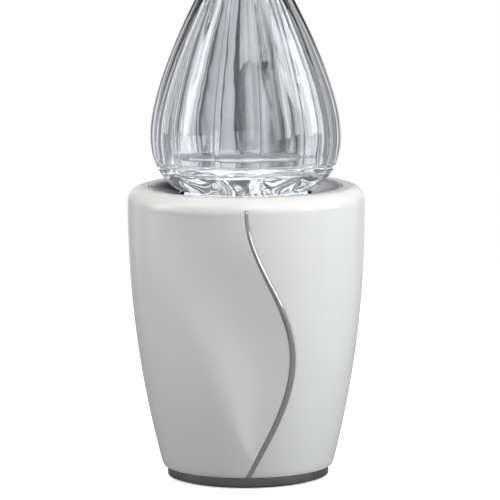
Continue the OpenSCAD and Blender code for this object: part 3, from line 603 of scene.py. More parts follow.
@dataclass
class Shape:
    """A bmesh in millimetres on its way to becoming a piece."""

    name: str
    mesh: bmesh.types.BMesh = field(default_factory=bmesh.new)

    def spin(self, points: Iterable[Point2], steps: int = 96) -> "Shape":
        """Turn a closed outline round the Z axis.

        Args:
            points: The outline's points as (radius, height).
            steps: Faces in a full turn.

        Returns:
            The shape.
        """
        verts = [self.mesh.verts.new((r, 0.0, z)) for r, z in points]
        edges = [self.mesh.edges.new(pair) for pair in zip(verts, verts[1:] + verts[:1])]
        bmesh.ops.spin(
            self.mesh, geom=verts + edges, cent=(0, 0, 0), axis=(0, 0, 1), dvec=(0, 0, 0),
            angle=math.tau, steps=steps, use_merge=True, use_duplicate=False,
        )
        return self.outward()

    def outward(self) -> "Shape":
        """Merge doubles and point every face outwards.

        Returns:
            The shape.
        """
        bmesh.ops.remove_doubles(self.mesh, verts=self.mesh.verts, dist=1e-4)
        bmesh.ops.recalc_face_normals(self.mesh, faces=self.mesh.faces)
        return self

    def rod(
        self, radius: float, start: Vector, end: Vector, segments: int = 48, edge: float = 0.0
    ) -> "Shape":
        """Add a cylinder.

        Args:
            radius: Its radius.
            start: The middle of its first face.
            end: The middle of its last face.
            segments: Its sides.
            edge: Width of its rims' bevel.

        Returns:
            The shape.
        """
        way = end - start
        turn = Vector((0, 0, 1)).rotation_difference(way).to_matrix().to_4x4()
        made = bmesh.ops.create_cone(
            self.mesh, cap_ends=True, segments=segments, radius1=radius, radius2=radius, depth=way.length,
            matrix=Matrix.Translation((start + end) / 2) @ turn,
        )["verts"]
        if edge > 0:
            rims = {e for v in made for e in v.link_edges if any(len(f.verts) > 4 for f in e.link_faces)}
            bmesh.ops.bevel(
                self.mesh, geom=list(rims), offset=edge, offset_type="OFFSET", affect="EDGES",
                segments=2, profile=0.5, material=-1,
            )
        return self

    def block(self, low: Vector, high: Vector, edge: float = 0.3) -> "Shape":
        """Add a box between two corners, with every edge bevelled.

        Args:
            low: Its lowest corner.
            high: Its highest corner.
            edge: Width of its edges' bevel.

        Returns:
            The shape.
        """
        size = high - low
        made = bmesh.ops.create_cube(
            self.mesh, size=1.0,
            matrix=Matrix.Translation((low + high) / 2) @ Matrix.Diagonal((*size, 1.0)),
        )["verts"]
        edges = {e for v in made for e in v.link_edges}
        if edge > 0:
            bmesh.ops.bevel(
                self.mesh, geom=list(edges), offset=edge, offset_type="OFFSET", affect="EDGES",
                segments=2, profile=0.5, material=-1,
            )
        return self

    def join(self, other: "Shape", at: Matrix = Matrix.Identity(4)) -> "Shape":
        """Take another shape in, moved to a place.

        Args:
            other: The shape to take in.
            at: Where it goes.

        Returns:
            This shape.
        """
        carrier = bpy.data.meshes.new("carrier")
        other.mesh.to_mesh(carrier)
        carrier.transform(at)
        self.mesh.from_mesh(carrier)
        bpy.data.meshes.remove(carrier)
        other.mesh.free()
        return self

    def move(self, rule: Callable[[Vector], Vector]) -> "Shape":
        """Move every vertex by a rule.

        Args:
            rule: Gives a vertex's new place from its old one.

        Returns:
            The shape.
        """
        for vert in self.mesh.verts:
            vert.co = rule(vert.co)
        return self

    def piece(
        self,
        look: Look,
        body: str,
        nodes: Sequence[str],
        sharp: float = 32.0,
        cuts: "Shape | None" = None,
    ) -> bpy.types.Object:
        """Make the shape a piece of the fountain.

        Args:
            look: Its finish.
            body: The body that it rides on.
            nodes: The nodes of the frame that it stands for.
            sharp: Edges past this angle in degrees stay crisp.
            cuts: A shape to cut away from it.

        Returns:
            The finished object.
        """
        made = self.thing(self.name)
        if cuts:
            cutter = cuts.thing(self.name + "_cutter")
            knife = made.modifiers.new("cut", "BOOLEAN")
            knife.object = cutter
            knife.operation = "DIFFERENCE"
            knife.solver = "EXACT"
            knife.use_self = True
            graph = bpy.context.evaluated_depsgraph_get()
            carved = bpy.data.meshes.new_from_object(made.evaluated_get(graph))
            made.modifiers.clear()
            made.data = carved
            bpy.data.objects.remove(cutter)
        made.data.materials.clear()
        made.data.materials.append(look.value.material())
        made.data.shade_smooth()
        made.data.set_sharp_from_angle(angle=math.radians(sharp))
        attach(made, body)
        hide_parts(*nodes)
        log.info("%s: %d faces, %s", made.name, len(made.data.polygons), look.name.lower())
        return made

    def thing(self, name: str) -> bpy.types.Object:
        """Turn the bmesh into an object in metres.

        Args:
            name: The object's name.

        Returns:
            The object.
        """
        data = bpy.data.meshes.new(name)
        bmesh.ops.scale(self.mesh, vec=(MM, MM, MM), verts=self.mesh.verts)
        self.mesh.to_mesh(data)
        self.mesh.free()
        made = bpy.data.objects.new(name, data)
        bpy.context.scene.collection.objects.link(made)
        return made


def dress(look: Look, nodes: Sequence[str]) -> None:
    """Give nodes of the frame a finish.

    Args:
        look: The finish.
        nodes: The nodes' names.
    """
    for name in nodes:
        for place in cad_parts[name].material_slots:
            place.material = look.value.material()
        log.info("%s: dressed, %s", name, look.name.lower())


def low(node: str) -> Vector:
    """Give a node's lowest corner in millimetres."""
    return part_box(node)[0] / MM


def high(node: str) -> Vector:
    """Give a node's highest corner in millimetres."""
    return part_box(node)[1] / MM


# ------------------------------------------------------------------------------ the body and its trim


@dataclass
class CeramicBody:
    """The glazed body and the wave trim let into it."""

    rim_z: float = 198.0
    widest_r: float = 80.0
    low_r: float = 57.6
    low_z: float = 8.0
    fillet: float = 10.0
    curve: float = 2.15
    wall: float = 8.0
    hollow_depth: float = 5.5
    hollow_span: float = 60.0
    hollow_start: float = 12.0
    hollow_widest: float = 132.0
    hollow_deep_z: float = 86.0
    hollow_turn: float = 0.4
    hollow_side: float = 0.7
    hollow_fade: float = 0.75
    swing: float = 24.5
    peak_z: float = 86.0
    trim_top_width: float = 1.7
    trim_mid_width: float = 3.3
    trim_depth: float = 2.0
    crown: float = 0.5
    groove_gap: float = 0.05
    groove_side: float = 0.24
    lip: float = 1.3
    lip_drop: float = 0.45
    pocket_r: float = 65.4
    ledge_r: float = 63.0
    ledge_z: float = 195.6
    throat_r: float = 60.0
    seat_z: float = 192.0
    throat_z: float = 186.0
    pad_half: float = 26.0
    panel_x: float = 13.0
    panel_z: float = 23.0
    spot_r: float = 8.6
    hole_r: float = 6.2
    face_y: float = 55.002
    wall_in_y: float = 48.502
    nut_r: float = 9.0
    columns: int = 336

    @property
    def shoulder_z(self) -> float:
        """Height where the taper ends and the rounded rim starts."""
        return self.rim_z - self.fillet

    @property
    def trim_top_z(self) -> float:
        """Height of the trim's top end."""
        return self.rim_z - 7.5

    def radius(self, z: float) -> float:
        """Give the body's outer radius at a height.

        Args:
            z: The height.

        Returns:
            The radius.
        """
        if z <= self.shoulder_z:
            share = (self.shoulder_z - z) / (self.shoulder_z - self.low_z)
            return self.widest_r - (self.widest_r - self.low_r) * max(0.0, share) ** self.curve
        rise = min(self.fillet, z - self.shoulder_z)
        return self.widest_r - self.fillet + math.sqrt(self.fillet**2 - rise**2)

    def wave(self, z: float) -> float:
        """Give the trim's angle to the right of the front, in degrees, at a height.

        Args:
            z: The height.

        Returns:
            The angle.
        """
        if z > self.peak_z:
            share = min(1.0, (z - self.peak_z) / (self.trim_top_z - self.peak_z))
            return self.swing * (1 + math.cos(math.pi * share)) / 2
        return self.swing * math.cos(math.pi / 2 * (self.peak_z - z) / (self.peak_z - self.low_z))

    def trim_width(self, z: float) -> float:
        """Give the trim's width at a height."""
        end = self.trim_top_width if z > self.peak_z else 0.85 * self.trim_mid_width
        return mix(end, self.trim_mid_width, self.wave(z) / self.swing)

    def hollow(self, left: float, z: float) -> float:
        """Give the depth of the hollow beside the trim.

        Args:
            left: Degrees to the left of the trim.
            z: The height.

        Returns:
            The depth in millimetres.
        """
        start, widest = self.low_z + self.hollow_start, self.low_z + self.hollow_widest
        deep = self.hollow_deep_z
        if left <= 0 or not start < z < self.shoulder_z:
            return 0.0
        opening = math.sin(math.pi / 2 * min(1.0, (z - start) / (widest - start)))
        reach = self.hollow_span * opening**self.hollow_side
        share = left / reach
        if share >= 1:
            return 0.0
        fall = (self.shoulder_z - z) / (self.shoulder_z - deep) if z > deep else (z - start) / (deep - start)
        height = math.sin(math.pi / 2 * fall) ** (self.hollow_fade if z > deep else 1.0)
        turn = self.hollow_turn
        if share < turn:
            return self.hollow_depth * height * (1 - (1 - share / turn) ** 2)
        return self.hollow_depth * height * (1 + math.cos(math.pi * (share - turn) / (1 - turn))) / 2

    def rows(self) -> list[float]:
        """List the heights of the outer skin's rows up to the rim.

        Returns:
            The heights, from the foot up.
        """
        taper = [mix(self.low_z, self.shoulder_z, i / 150) for i in range(151)]
        bend = [self.shoulder_z + self.fillet * math.sin(math.radians(a)) for a in range(5, 91, 5)]
        ends = [self.trim_top_z + d for d in (-0.25, 0.0, 0.25)]
        return sorted(taper + bend + ends)

    def skin_point(self, place: Vector) -> Vector:
        """Move a point of the plain turned body to its place on the finished one.

        The columns are crowded towards the trim, the skin sinks into the hollow and the trim's groove, and
        the inner wall is made flat behind the rear panel.

        Args:
            place: The point on the turned body.

        Returns:
            Its place.
        """
        even, crowded = 0.15, 0.85
        around = math.atan2(place.x, -place.y)
        share = abs(around) / math.pi
        around = math.copysign(even * abs(around) + crowded * math.pi * share**2, around)
        r, z = math.hypot(place.x, place.y), place.z
        outer = r > self.radius(max(z, self.low_z)) - 0.7 and r > self.widest_r - self.fillet - 0.01 or (
            z <= self.shoulder_z and r > self.radius(max(z, self.low_z)) - 2.0
        )
        if outer and z <= self.rim_z:
            middle = math.radians(self.wave(z)) if z < self.trim_top_z else 0.0
            left = -math.degrees(around)
            beside = abs(around) * r - (self.trim_width(z) / 2 + self.groove_gap)
            end = smooth((self.trim_top_z - z) / 0.5 + 0.5)
            r -= self.hollow(left, z)
            r -= end * (self.trim_depth + self.groove_gap) * smooth(0.5 - beside / self.groove_side)
            r -= end * self.lip_drop * max(0.0, 1 - max(beside, 0.0) / self.lip) ** 2
            around += middle
        x, y = r * math.sin(around), -r * math.cos(around)
        if not outer and y > 0 and abs(x) < self.pad_half and z < self.panel_z + self.spot_r:
            y = min(y, self.wall_in_y)
        return Vector((x, y, z))

    def shell(self) -> bpy.types.Object:
        """Build the glazed body.

        Returns:
            The body's shell.
        """
        edge = self.low_r
        outer = [(edge - 1.0, self.low_z), (edge - 0.3, self.low_z + 0.3)]
        outer += [(self.radius(z), z) for z in self.rows()[2:]]
        mouth = 0.9
        ledges = rounded(
            [
                (self.pocket_r, self.rim_z, mouth), (self.pocket_r, self.ledge_z, 0.3),
                (self.ledge_r, self.ledge_z, 0.3), (self.ledge_r, self.seat_z, 0.3),
                (self.throat_r, self.seat_z, 0.5), (self.throat_r, self.throat_z, 0.5),
            ],
            3,
        )[4:]
        top = [(self.widest_r - self.fillet - d, self.rim_z) for d in (1.5, 3.0)]
        bend = arc((self.pocket_r + mouth, self.rim_z - mouth), mouth, 90, 180, 4)
        inner = [(self.radius(z) - self.wall, z) for z in (177, 155, 130, 105, 80, 55, 31.8, 31.5, 20, 8)]
        shape = Shape("body_glazed_shell").spin(outer + top + bend + ledges + inner, self.columns)
        shape.move(self.skin_point)
        holes = Shape("panel_cut")
        for side in (-1, 1):
            x, z = side * self.panel_x, self.panel_z
            for radius, start, end in (
                (self.hole_r, self.wall_in_y - 2, self.face_y + 1),
                (self.spot_r, self.face_y, self.face_y + 12),
                (self.nut_r, self.wall_in_y - 4, self.wall_in_y),
            ):
                holes.rod(radius, Vector((x, start, z)), Vector((x, end, z)))
        return shape.outward().piece(Look.CERAMIC, "root", ["body_shell"], 38.0, holes)

    def inlay(self) -> bpy.types.Object:
        """Build the wave trim, with a crowned face and eased edges.

        Returns:
            The trim.
        """
        crown = 10
        low_z, high_z = self.low_z + 0.2, self.trim_top_z - 0.2

        def place(across: float, along: float) -> Vector:
            """Put a point of a flat sheet on the trim.

            Args:
                across: Its share across the trim, from 0 to 1.
                along: Its share along the trim, from 0 to 1.

            Returns:
                Its place.
            """
            z = mix(low_z, high_z, along)
            half = self.trim_width(z) / 2
            r = self.radius(z)
            step = across * (crown + 2)
            if step < 1 or step > crown + 1:
                side = -1 if step < 1 else 1
                inward = min(1.0, 1 - step if step < 1 else step - crown - 1)
                return self.on_trim(z, side * half, r + mix(0.1, -self.trim_depth, inward))
            t = (step - 1) / crown * 2 - 1
            bulge = 0.1 + (self.crown - 0.1) * (1 - abs(t) ** 2.6)
            return self.on_trim(z, t * half, r + bulge)

        shape = sheet("trim_wave_inlay", place, crown + 2, 220)
        rims = [e for e in shape.mesh.edges if e.is_boundary]
        closed = bmesh.ops.extrude_edge_only(shape.mesh, edges=rims)["geom"]
        for vert in (v for v in closed if isinstance(v, bmesh.types.BMVert)):
            middle = self.on_trim(vert.co.z, 0.0, self.radius(vert.co.z) - self.trim_depth)
            vert.co = middle
        return shape.outward().piece(Look.MIRROR, "root", ["wave_trim"], 40.0)

    def on_trim(self, z: float, aside: float, r: float) -> Vector:
        """Give a point beside the trim's middle line.

        Args:
            z: Its height.
            aside: Millimetres to the right of the line, along the skin.
            r: Its distance from the axis.

        Returns:
            The point.
        """
        angle = math.radians(self.wave(z)) + aside / self.radius(z)
        return Vector((r * math.sin(angle), -r * math.cos(angle), z))

    def build(self) -> None:
        """Build the body and its trim."""
        self.shell()
        self.inlay()


def sheet(name: str, place: Callable[[float, float], Vector], across: int, along: int) -> Shape:
    """Lay a flat grid along a rule.

    Args:
        name: The shape's name.
        place: Gives a point from its shares across and along, each 0 to 1.
        across: Faces across.
        along: Faces along.

    Returns:
        The shape.
    """
    shape = Shape(name)
    bmesh.ops.create_grid(shape.mesh, x_segments=across, y_segments=along, size=0.5)
    return shape.move(lambda p: place(min(1.0, max(0.0, p.x + 0.5)), min(1.0, max(0.0, p.y + 0.5))))


@dataclass
class Foot:
    """The steel foot ring, the rubber pad under it and the base plate inside it."""

    ring_r: float = 54.6
    ring_wall: float = 3.0
    lift: float = 1.2
    top_z: float = 8.0
    flange_z: float = 6.0
    flange_r: float = 47.6
    plate_r: float = 51.3
    plate_z: float = 3.0
    pad_outer: float = 50.3
    pad_inner: float = 45.3
    sink: float = 0.4
    screw_circle: float = 40.1
    head_r: float = 3.8
    shank_r: float = 1.9
    post_x: float = 23.5
    post_ys: tuple[float, float] = (-20.5, 14.5)
    post_top: float = 12.0
    ribs: int = 24

    def ring(self) -> bpy.types.Object:
        """Build the foot ring: a polished band with a rolled lower edge and a flange.

        Returns:
            The ring.
        """
        inner = self.ring_r - self.ring_wall
        outline = rounded(
            [
                (inner, self.lift, 0.5), (self.ring_r, self.lift, 1.1), (self.ring_r, self.top_z, 0.35),
                (self.flange_r, self.top_z, 0.2), (self.flange_r, self.flange_z, 0.2),
                (inner, self.flange_z, 0.4),
            ],
            5,
        )
        return Shape("foot_polished_ring").spin(outline, 192).piece(Look.FOOT_SHADED, "root", ["foot_ring"], 40.0)

    def pad(self) -> bpy.types.Object:
        """Build the rubber pad, with three grip grooves in its lower face.

        Returns:
            The pad.
        """
        top = self.plate_z + self.sink
        outline = [(self.pad_inner, top), (self.pad_inner, 0.6), (self.pad_inner + 0.5, 0.0)]
        for middle in (self.pad_inner + step for step in (1.4, 2.5, 3.6)):
            outline += [(middle - 0.25, 0.0), (middle - 0.1, 0.4), (middle + 0.1, 0.4), (middle + 0.25, 0.0)]
        outline += [(self.pad_outer - 0.5, 0.0), (self.pad_outer, 0.6), (self.pad_outer, top)]
        return Shape("foot_rubber_pad").spin(outline, 144).piece(Look.RUBBER, "root", ["foot_pad"], 30.0)

    def plate(self) -> bpy.types.Object:
        """Build the base plate: a moulded disc with ribs, screw wells and board posts.

        Returns:
            The plate.
        """
        shape = Shape("foot_base_plate")
        z0, z1 = self.plate_z, self.flange_z
        groove = self.plate_z + self.sink + 0.05
        shape.spin(
            [
                (0.02, z0 + 0.5), (8.0, z0 + 0.5), (8.6, z0), (12.0, z0), (12.6, z0 + 0.5), (32.0, z0 + 0.5),
                (32.6, z0), (self.pad_inner - 0.05, z0), (self.pad_inner - 0.05, groove),
                (self.pad_outer + 0.05, groove), (self.pad_outer + 0.05, z0), (self.plate_r - 0.3, z0),
                (self.plate_r, z0 + 0.3), (self.plate_r, z1), (0.02, z1),
            ],
            144,
        )
        for x in (-self.post_x, self.post_x):
            for y in self.post_ys:
                shape.rod(3.0, Vector((x, y, z1 - 1)), Vector((x, y, self.post_top)), 32, 0.2)
        for i in range(self.ribs):
            rib = Shape("rib").block(Vector((13.5, -0.4, z0 + 0.1)), Vector((31.5, 0.4, z0 + 1.0)), 0.15)
            shape.join(rib, Matrix.Rotation(math.tau * (i + 0.5) / self.ribs, 4, "Z"))
        wells = Shape("wells")
        for p in self.screw_places():
            wells.rod(self.head_r + 0.3, p, p + Vector((0, 0, z0 + 1.7)))
            wells.rod(2.2, p, p + Vector((0, 0, 9)), 32)
        return shape.piece(Look.BLACK, "root", ["base_plate"], 30.0, wells)

    def screw_places(self) -> list[Vector]:
        """List where the three base screws are."""
        angles = [math.radians(a) for a in (30, 150, 270)]
        return [Vector((self.screw_circle * math.cos(a), self.screw_circle * math.sin(a), 0)) for a in angles]

    def screws(self) -> bpy.types.Object:
        """Build the base screws, domed and cross-slotted.

        Returns:
            The screws.
        """
        shape = Shape("foot_base_screws")
        slots = Shape("slots")
        z = self.plate_z + 0.1
        for p in self.screw_places():
            head = Shape("head").spin(
                [(0.02, z), (1.6, z + 0.05), (2.9, z + 0.3), (self.head_r, z + 0.9), (self.head_r, z + 1.6),
                 (self.shank_r, z + 1.6), (self.shank_r, z + 17.0), (0.02, z + 17.5)],
                40,
            )
            shape.join(head, Matrix.Translation(p))
            for turn, extra in ((0.0, 0.0), (math.pi / 2, 0.07)):
                size = Vector((2.0 + extra, 0.4, 1.0 + extra))
                slot = Shape("slot").block(Vector((0, 0, z)) - size, Vector((0, 0, z)) + size, 0.0)
                slots.join(slot, Matrix.Translation(p) @ Matrix.Rotation(turn, 4, "Z"))
        return shape.piece(Look.STEEL, "root", ["base_screws"], 30.0, slots)

    def build(self) -> None:
        """Build the foot."""
        self.ring()
        self.pad()
        self.plate()
        self.screws()


# ------------------------------------------------------------------------------ dish, glass and light


@dataclass
class Dish:
    """The polished catch dish and the seal under it."""

    rim_r: float = 65.0
    hole_r: float = 44.5
    rim_z: float = 197.5
    depth: float = 4.0
    sheet_t: float = 1.0
    bead: float = 0.9
    lip: float = 3.5
    seal_in: float = 63.4
    seal_out: float = 65.2
    seal_z: float = 195.6
    seal_top: float = 196.4

    def top(self, r: float) -> float:
        """Give the upper face's height.

        Args:
            r: The distance from the axis.

        Returns:
            The height there.
        """
        edge = self.rim_r - 2 * self.bead
        share = max(0.0, (edge - r) / (edge - self.hole_r))
        return self.rim_z - self.depth * share**1.5

    def build(self) -> None:
        """Build the dish and its seal."""
        start = self.hole_r + self.sheet_t
        low = self.top(start)
        steps = [mix(start + 0.6, self.rim_r - 2 * self.bead, i / 40) for i in range(41)]
        outline = [(self.hole_r, low - self.lip), (start, low - self.lip), (start, low - self.sheet_t - 0.4)]
        outline += [(r, self.top(r) - self.sheet_t) for r in steps]
        outline += [(self.rim_r, self.rim_z - self.sheet_t)]
        outline += arc((self.rim_r - self.bead, self.rim_z - 0.2), self.bead, 0, 165, 11)
        outline += [(r, self.top(r)) for r in reversed(steps[:-1])]
        outline += [(start, low), (self.hole_r + 0.4, low - 0.12), (self.hole_r + 0.1, low - 0.35)]
        outline += [(self.hole_r, low - 0.8)]
        Shape("dish_polished_bowl").spin(outline, 224).piece(Look.MIRROR, "dish", ["catch_dish"], 50.0)
        seal = rounded(
            [(self.seal_in, self.seal_z, 0.2), (self.seal_out, self.seal_z, 0.2),
             (self.seal_out, self.seal_top, 0.3), (self.seal_in, self.seal_top, 0.3)],
            3,
        )
        Shape("dish_soft_seal").spin(seal, 144).piece(Look.SILICONE, "root", ["dish_seal"], 40.0)


@dataclass
class GlassVessel:
    """The fluted vessel: twelve lobes outside, a softer wave inside and a thick foot."""

    foot_z: float = 195.0
    height: float = 178.0
    foot_r: float = 41.0
    belly_r: float = 64.6
    wall: float = 6.0
    floor: float = 15.0
    neck_r: float = 7.0
    neck_wall: float = 3.5
    lobes: int = 12
    flute_share: float = 0.05
    phase: float = 9.5
    inlet_r: float = 7.7
    corner: float = 9.0
    steps: int = 288
    outer: list[Point2] = field(default_factory=list)

    def profile(self) -> list[Point2]:
        """List the outer profile from the foot to the lip.

        Returns:
            Its points as (radius, height).
        """
        z, h, r = self.foot_z, self.height, self.belly_r
        belly, shoulder = (r, z + 0.203 * h), (0.508 * r, z + 0.73 * h)
        neck, top = self.neck_r + self.neck_wall, z + h
        parts = [
            [(self.foot_r, z), (0.83 * r, z + 0.01 * h), (r, z + 0.095 * h), belly],
            [belly, (r, belly[1] + 0.14 * h), (shoulder[0] + 15.6, shoulder[1] - 30), shoulder],
            [shoulder, (shoulder[0] - 8, shoulder[1] + 14), (neck, self.neck_z - 15), (neck, self.neck_z)],
            [(neck, self.neck_z), (neck, top - 7), (neck + 3, top - 5), (neck + 3, top - 1.5)],
        ]
        points = []
        for part, count in zip(parts, (30, 60, 40, 14)):
            points += [bezier(part, i / count) for i in range(count)]
        return points + arc((neck + 1.7, top - 1.4), 1.3, 0, 90, 5)

    @property
    def neck_z(self) -> float:
        """Height where the neck starts."""
        return self.foot_z + 0.925 * self.height

    def outer_r(self, z: float) -> float:
        """Give the outer radius at a height, from the profile.

        Args:
            z: The height.

        Returns:
            The radius.
        """
        for (r0, z0), (r1, z1) in zip(self.outer, self.outer[1:]):
            if z0 <= z <= z1:
                return mix(r0, r1, (z - z0) / max(z1 - z0, 1e-6))
        return self.outer[-1][0]

    def flute(self, r: float, z: float) -> float:
        """Give a flute's full depth at a place on the profile."""
        rise = smooth((z - self.foot_z) / (0.11 * self.height))
        return self.flute_share * r * rise * smooth((self.neck_z - z) / (0.25 * self.height))

    def blow(self, place: Vector) -> Vector:
        """Move a point of the turned vessel to its place on the fluted one.

        Args:
            place: The point on the turned vessel.

        Returns:
            Its place.
        """
        r, z = math.hypot(place.x, place.y), place.z
        if r < self.neck_r + 1.6 and z < self.neck_z + 8 and r < self.inlet_r + 0.5:
            return place
        angle = math.degrees(math.atan2(place.x, -place.y))
        wave = math.sin(math.radians(self.lobes / 2 * (angle - self.phase)))
        crease = 1 - math.sqrt(wave * wave + 0.0035) / math.sqrt(1.0035)
        outside = r > self.outer_r(z) - 0.4
        full = self.flute(self.outer_r(z), z)
        if outside:
            moved = r - full * crease
        elif z > self.foot_z + self.floor - 0.1 and r > 12:
            soft = 0.5 - 0.5 * math.cos(math.radians(self.lobes * (angle - self.phase)))
            moved = r - 0.55 * full * (1 - soft)
            seed = lattice.noise(Vector((place.x, place.y, place.z * 0.6)) * 0.035)
            moved += 0.5 * seed
            if z < self.foot_z + self.floor + 4:
                z += 0.9 * (soft - 0.5) + 0.5 * seed
        else:
            return place
        return Vector((place.x * moved / r, place.y * moved / r, z))

    def build(self) -> bpy.types.Object:
        """Build the vessel.

        Returns:
            The vessel.
        """
        self.outer = self.profile()
        top, floor_z = self.foot_z + self.height, self.foot_z + self.floor
        walls = [(r - self.wall, z) for r, z in self.outer if z > floor_z + self.corner]
        walls = [(r, z) for r, z in walls if r > self.neck_r + 1.5 and z < self.neck_z]
        side = walls[0][0]
        turn = arc((side - self.corner, floor_z + self.corner), self.corner, -8, -90, 10)
        flat = [(mix(side - self.corner, self.inlet_r + 1, i / 12), floor_z) for i in range(1, 13)]
        mouth = [(self.neck_r + 1.4, top), (self.neck_r + 0.5, top - 0.8), (self.neck_r, top - 3)]
        outline = self.outer + mouth + [(self.neck_r, self.neck_z)] + walls[::-1] + turn + flat
        outline += [(self.inlet_r, floor_z - 0.8), (self.inlet_r, self.foot_z + 6), (14.0, self.foot_z + 6)]
        outline += [(31.0, self.foot_z + 0.5), (31.6, self.foot_z + 0.1), (32.4, self.foot_z)]
        shape = Shape("glass_fluted_vessel").spin(outline, self.steps)
        return shape.move(self.blow).piece(Look.GLASS, "vessel", ["glass_vessel"], 75.0)


@dataclass
class LightBridge:
    """What carries the glass: the bridge, its lens, the seat ring and the water inlet."""

    z: float = 184.0
    hub_r: float = 41.5
    hub_top: float = 190.6
    floor_t: float = 2.0
    wall: float = 2.0
    nozzle_r: float = 7.0
    lens_z: float = 191.2
    lens_t: float = 2.0
    seat_z: float = 193.2
    seat_t: float = 1.6
    arm_w: float = 10.0

    def bridge(self) -> bpy.types.Object:
        """Build the hub tray and its three ribbed arms.

        Returns:
            The bridge.
        """
        end = high("light_bridge").y
        bore, collar, inside = self.nozzle_r + 0.1, self.nozzle_r + 2.6, self.hub_r - self.wall
        outline = rounded(
            [
                (bore, self.z, 0.3), (self.hub_r, self.z, 0.6), (self.hub_r, self.hub_top, 0.4),
                (inside, self.hub_top, 0.4), (inside, self.z + self.floor_t, 0.5),
                (collar, self.z + self.floor_t, 0.5), (collar, self.hub_top, 0.4), (bore, self.hub_top, 0.4),
            ],
            3,
        )
        shape = Shape("bridge_hub").spin(outline, 120)
        for turn in (90, 210, 330):
            half, start = self.arm_w / 2 - 0.5, self.hub_r - 1
            arm = Shape("arm").block(Vector((start, -half, self.z)), Vector((end, half, self.z + 3)), 0.4)
            arm.block(Vector((start, -1, self.z + 2.6)), Vector((end - 5, 1, self.z + 5.2)), 0.4)
            shape.join(arm, Matrix.Rotation(math.radians(turn), 4, "Z"))
        return shape.piece(Look.WHITE, "root", ["light_bridge"], 35.0)

    def lens(self) -> bpy.types.Object:
        """Build the lens, ribbed underneath to spread the light.

        Returns:
            The lens.
        """
        inner, z0, z1 = self.nozzle_r + 0.1, self.lens_z, self.lens_z + self.lens_t
        ribs = 16
        under = []
        for i in range(ribs):
            r = mix(inner + 4, self.hub_r - 4.5, i / ribs)
            under += [(r, z0), (r + 0.6, z0 + 0.5), (r + 1.2, z0)]
        outline = [(inner, z0 + 0.2), (inner + 0.2, z0)] + under
        edge = 0.4
        outline += [(self.hub_r - edge, z0), (self.hub_r, z0 + edge), (self.hub_r, z1 - edge)]
        outline += [(self.hub_r - edge, z1)]
        outline += [(inner + 0.2, z1), (inner, z1 - 0.2)]
        return Shape("lens_ribbed_disc").spin(outline, 144).piece(Look.FROST, "root", ["led_lens"], 35.0)

    def seat(self) -> bpy.types.Object:
        """Build the soft ring that the glass stands on, with a drip lip.

        Returns:
            The ring.
        """
        z0, z1 = self.seat_z, self.seat_z + self.seat_t
        outline = rounded(
            [(34.0, z0, 0.2), (40.2, z0, 0.2), (40.2, z1, 0.6), (37.6, z1, 0.2), (37.1, z1 - 0.4, 0.1),
             (36.6, z1, 0.2), (34.0, z1, 0.6)],
            3,
        )
        return Shape("seat_soft_ring").spin(outline, 144).piece(Look.SILICONE, "root", ["seat_ring"], 40.0)

    def inlet(self) -> bpy.types.Object:
        """Build the inlet nozzle with its flange, barbs, seal groove and rounded mouth.

        Returns:
            The nozzle.
        """
        low_z, top_z = low("inlet_nozzle").z, high("inlet_nozzle").z
        flange_z = self.z - 2.5
        barbs: list[Point2] = []
        for i in range(4):
            z = low_z + 1.5 + 3.0 * i
            barbs += [(4.5, z), (4.95, z + 2.2), (4.95, z + 2.5), (4.5, z + 2.7)]
        outline = [(3.5, low_z), (4.4, low_z)] + barbs + [(4.6, flange_z)]
        flange = [(4.6, flange_z, 0.0), (11.0, flange_z, 0.5), (11.0, self.z, 0.5), (7.0, self.z, 0.3)]
        outline += rounded(flange, 3)[1:]
        outline += [(7.0, 203.0), (6.1, 203.1), (6.1, 204.9), (7.0, 205.0), (7.0, top_z - 0.7)]
        outline += [(6.75, top_z - 0.2), (6.2, top_z), (5.2, top_z), (4.7, top_z - 0.3), (4.5, top_z - 0.9)]
        outline += [(4.5, low_z + 15.5), (3.5, low_z + 14.8)]
        return Shape("inlet_clear_nozzle").spin(outline, 96).piece(Look.CLEAR, "root", ["inlet_nozzle"], 35.0)

    def nut(self) -> bpy.types.Object:
        """Build the hexagonal nut that clamps the lens.

        Returns:
            The nut.
        """
        z0, z1 = low("nozzle_nut").z, high("nozzle_nut").z
        shape = Shape("inlet_hex_nut").spin([(7.05, z0), (12.0, z0), (12.0, z1), (7.05, z1)], 144)

        def hexagon(p: Vector) -> Vector:
            """Draw the nut's round side in to six flats.

            Args:
                p: A point of the round nut.

            Returns:
                Its place.
            """
            r, angle = math.hypot(p.x, p.y), math.atan2(p.y, p.x)
            if r < 8:
                return p
            sector = (angle % (math.pi / 3)) - math.pi / 6
            flat = 11.2 * math.cos(math.pi / 6) / math.cos(sector)
            return Vector((p.x * flat / r, p.y * flat / r, p.z))

        return shape.move(hexagon).piece(Look.CLEAR, "root", ["nozzle_nut"], 30.0)

    def build(self) -> None:
        """Build the bridge and what stands on it."""
        self.bridge()
        self.lens()
        self.seat()
        self.inlet()
        self.nut()


# ------------------------------------------------------------------------------ the rear panel and the pump


def turned_y(name: str, outline: Sequence[Point2], x: float, z: float, steps: int = 72) -> Shape:
    """Turn an outline of (radius, depth along +Y) round an axis through (x, z).

    Args:
        name: The shape's name.
        outline: Points as (radius, place along +Y).
        x: The axis's place across.
        z: The axis's height.
        steps: Faces in a full turn.

    Returns:
        The shape.
    """
    at = Matrix.Translation((x, 0, z)) @ Matrix.Rotation(-math.pi / 2, 4, "X")
    return Shape(name).join(Shape("turned").spin(outline, steps), at)


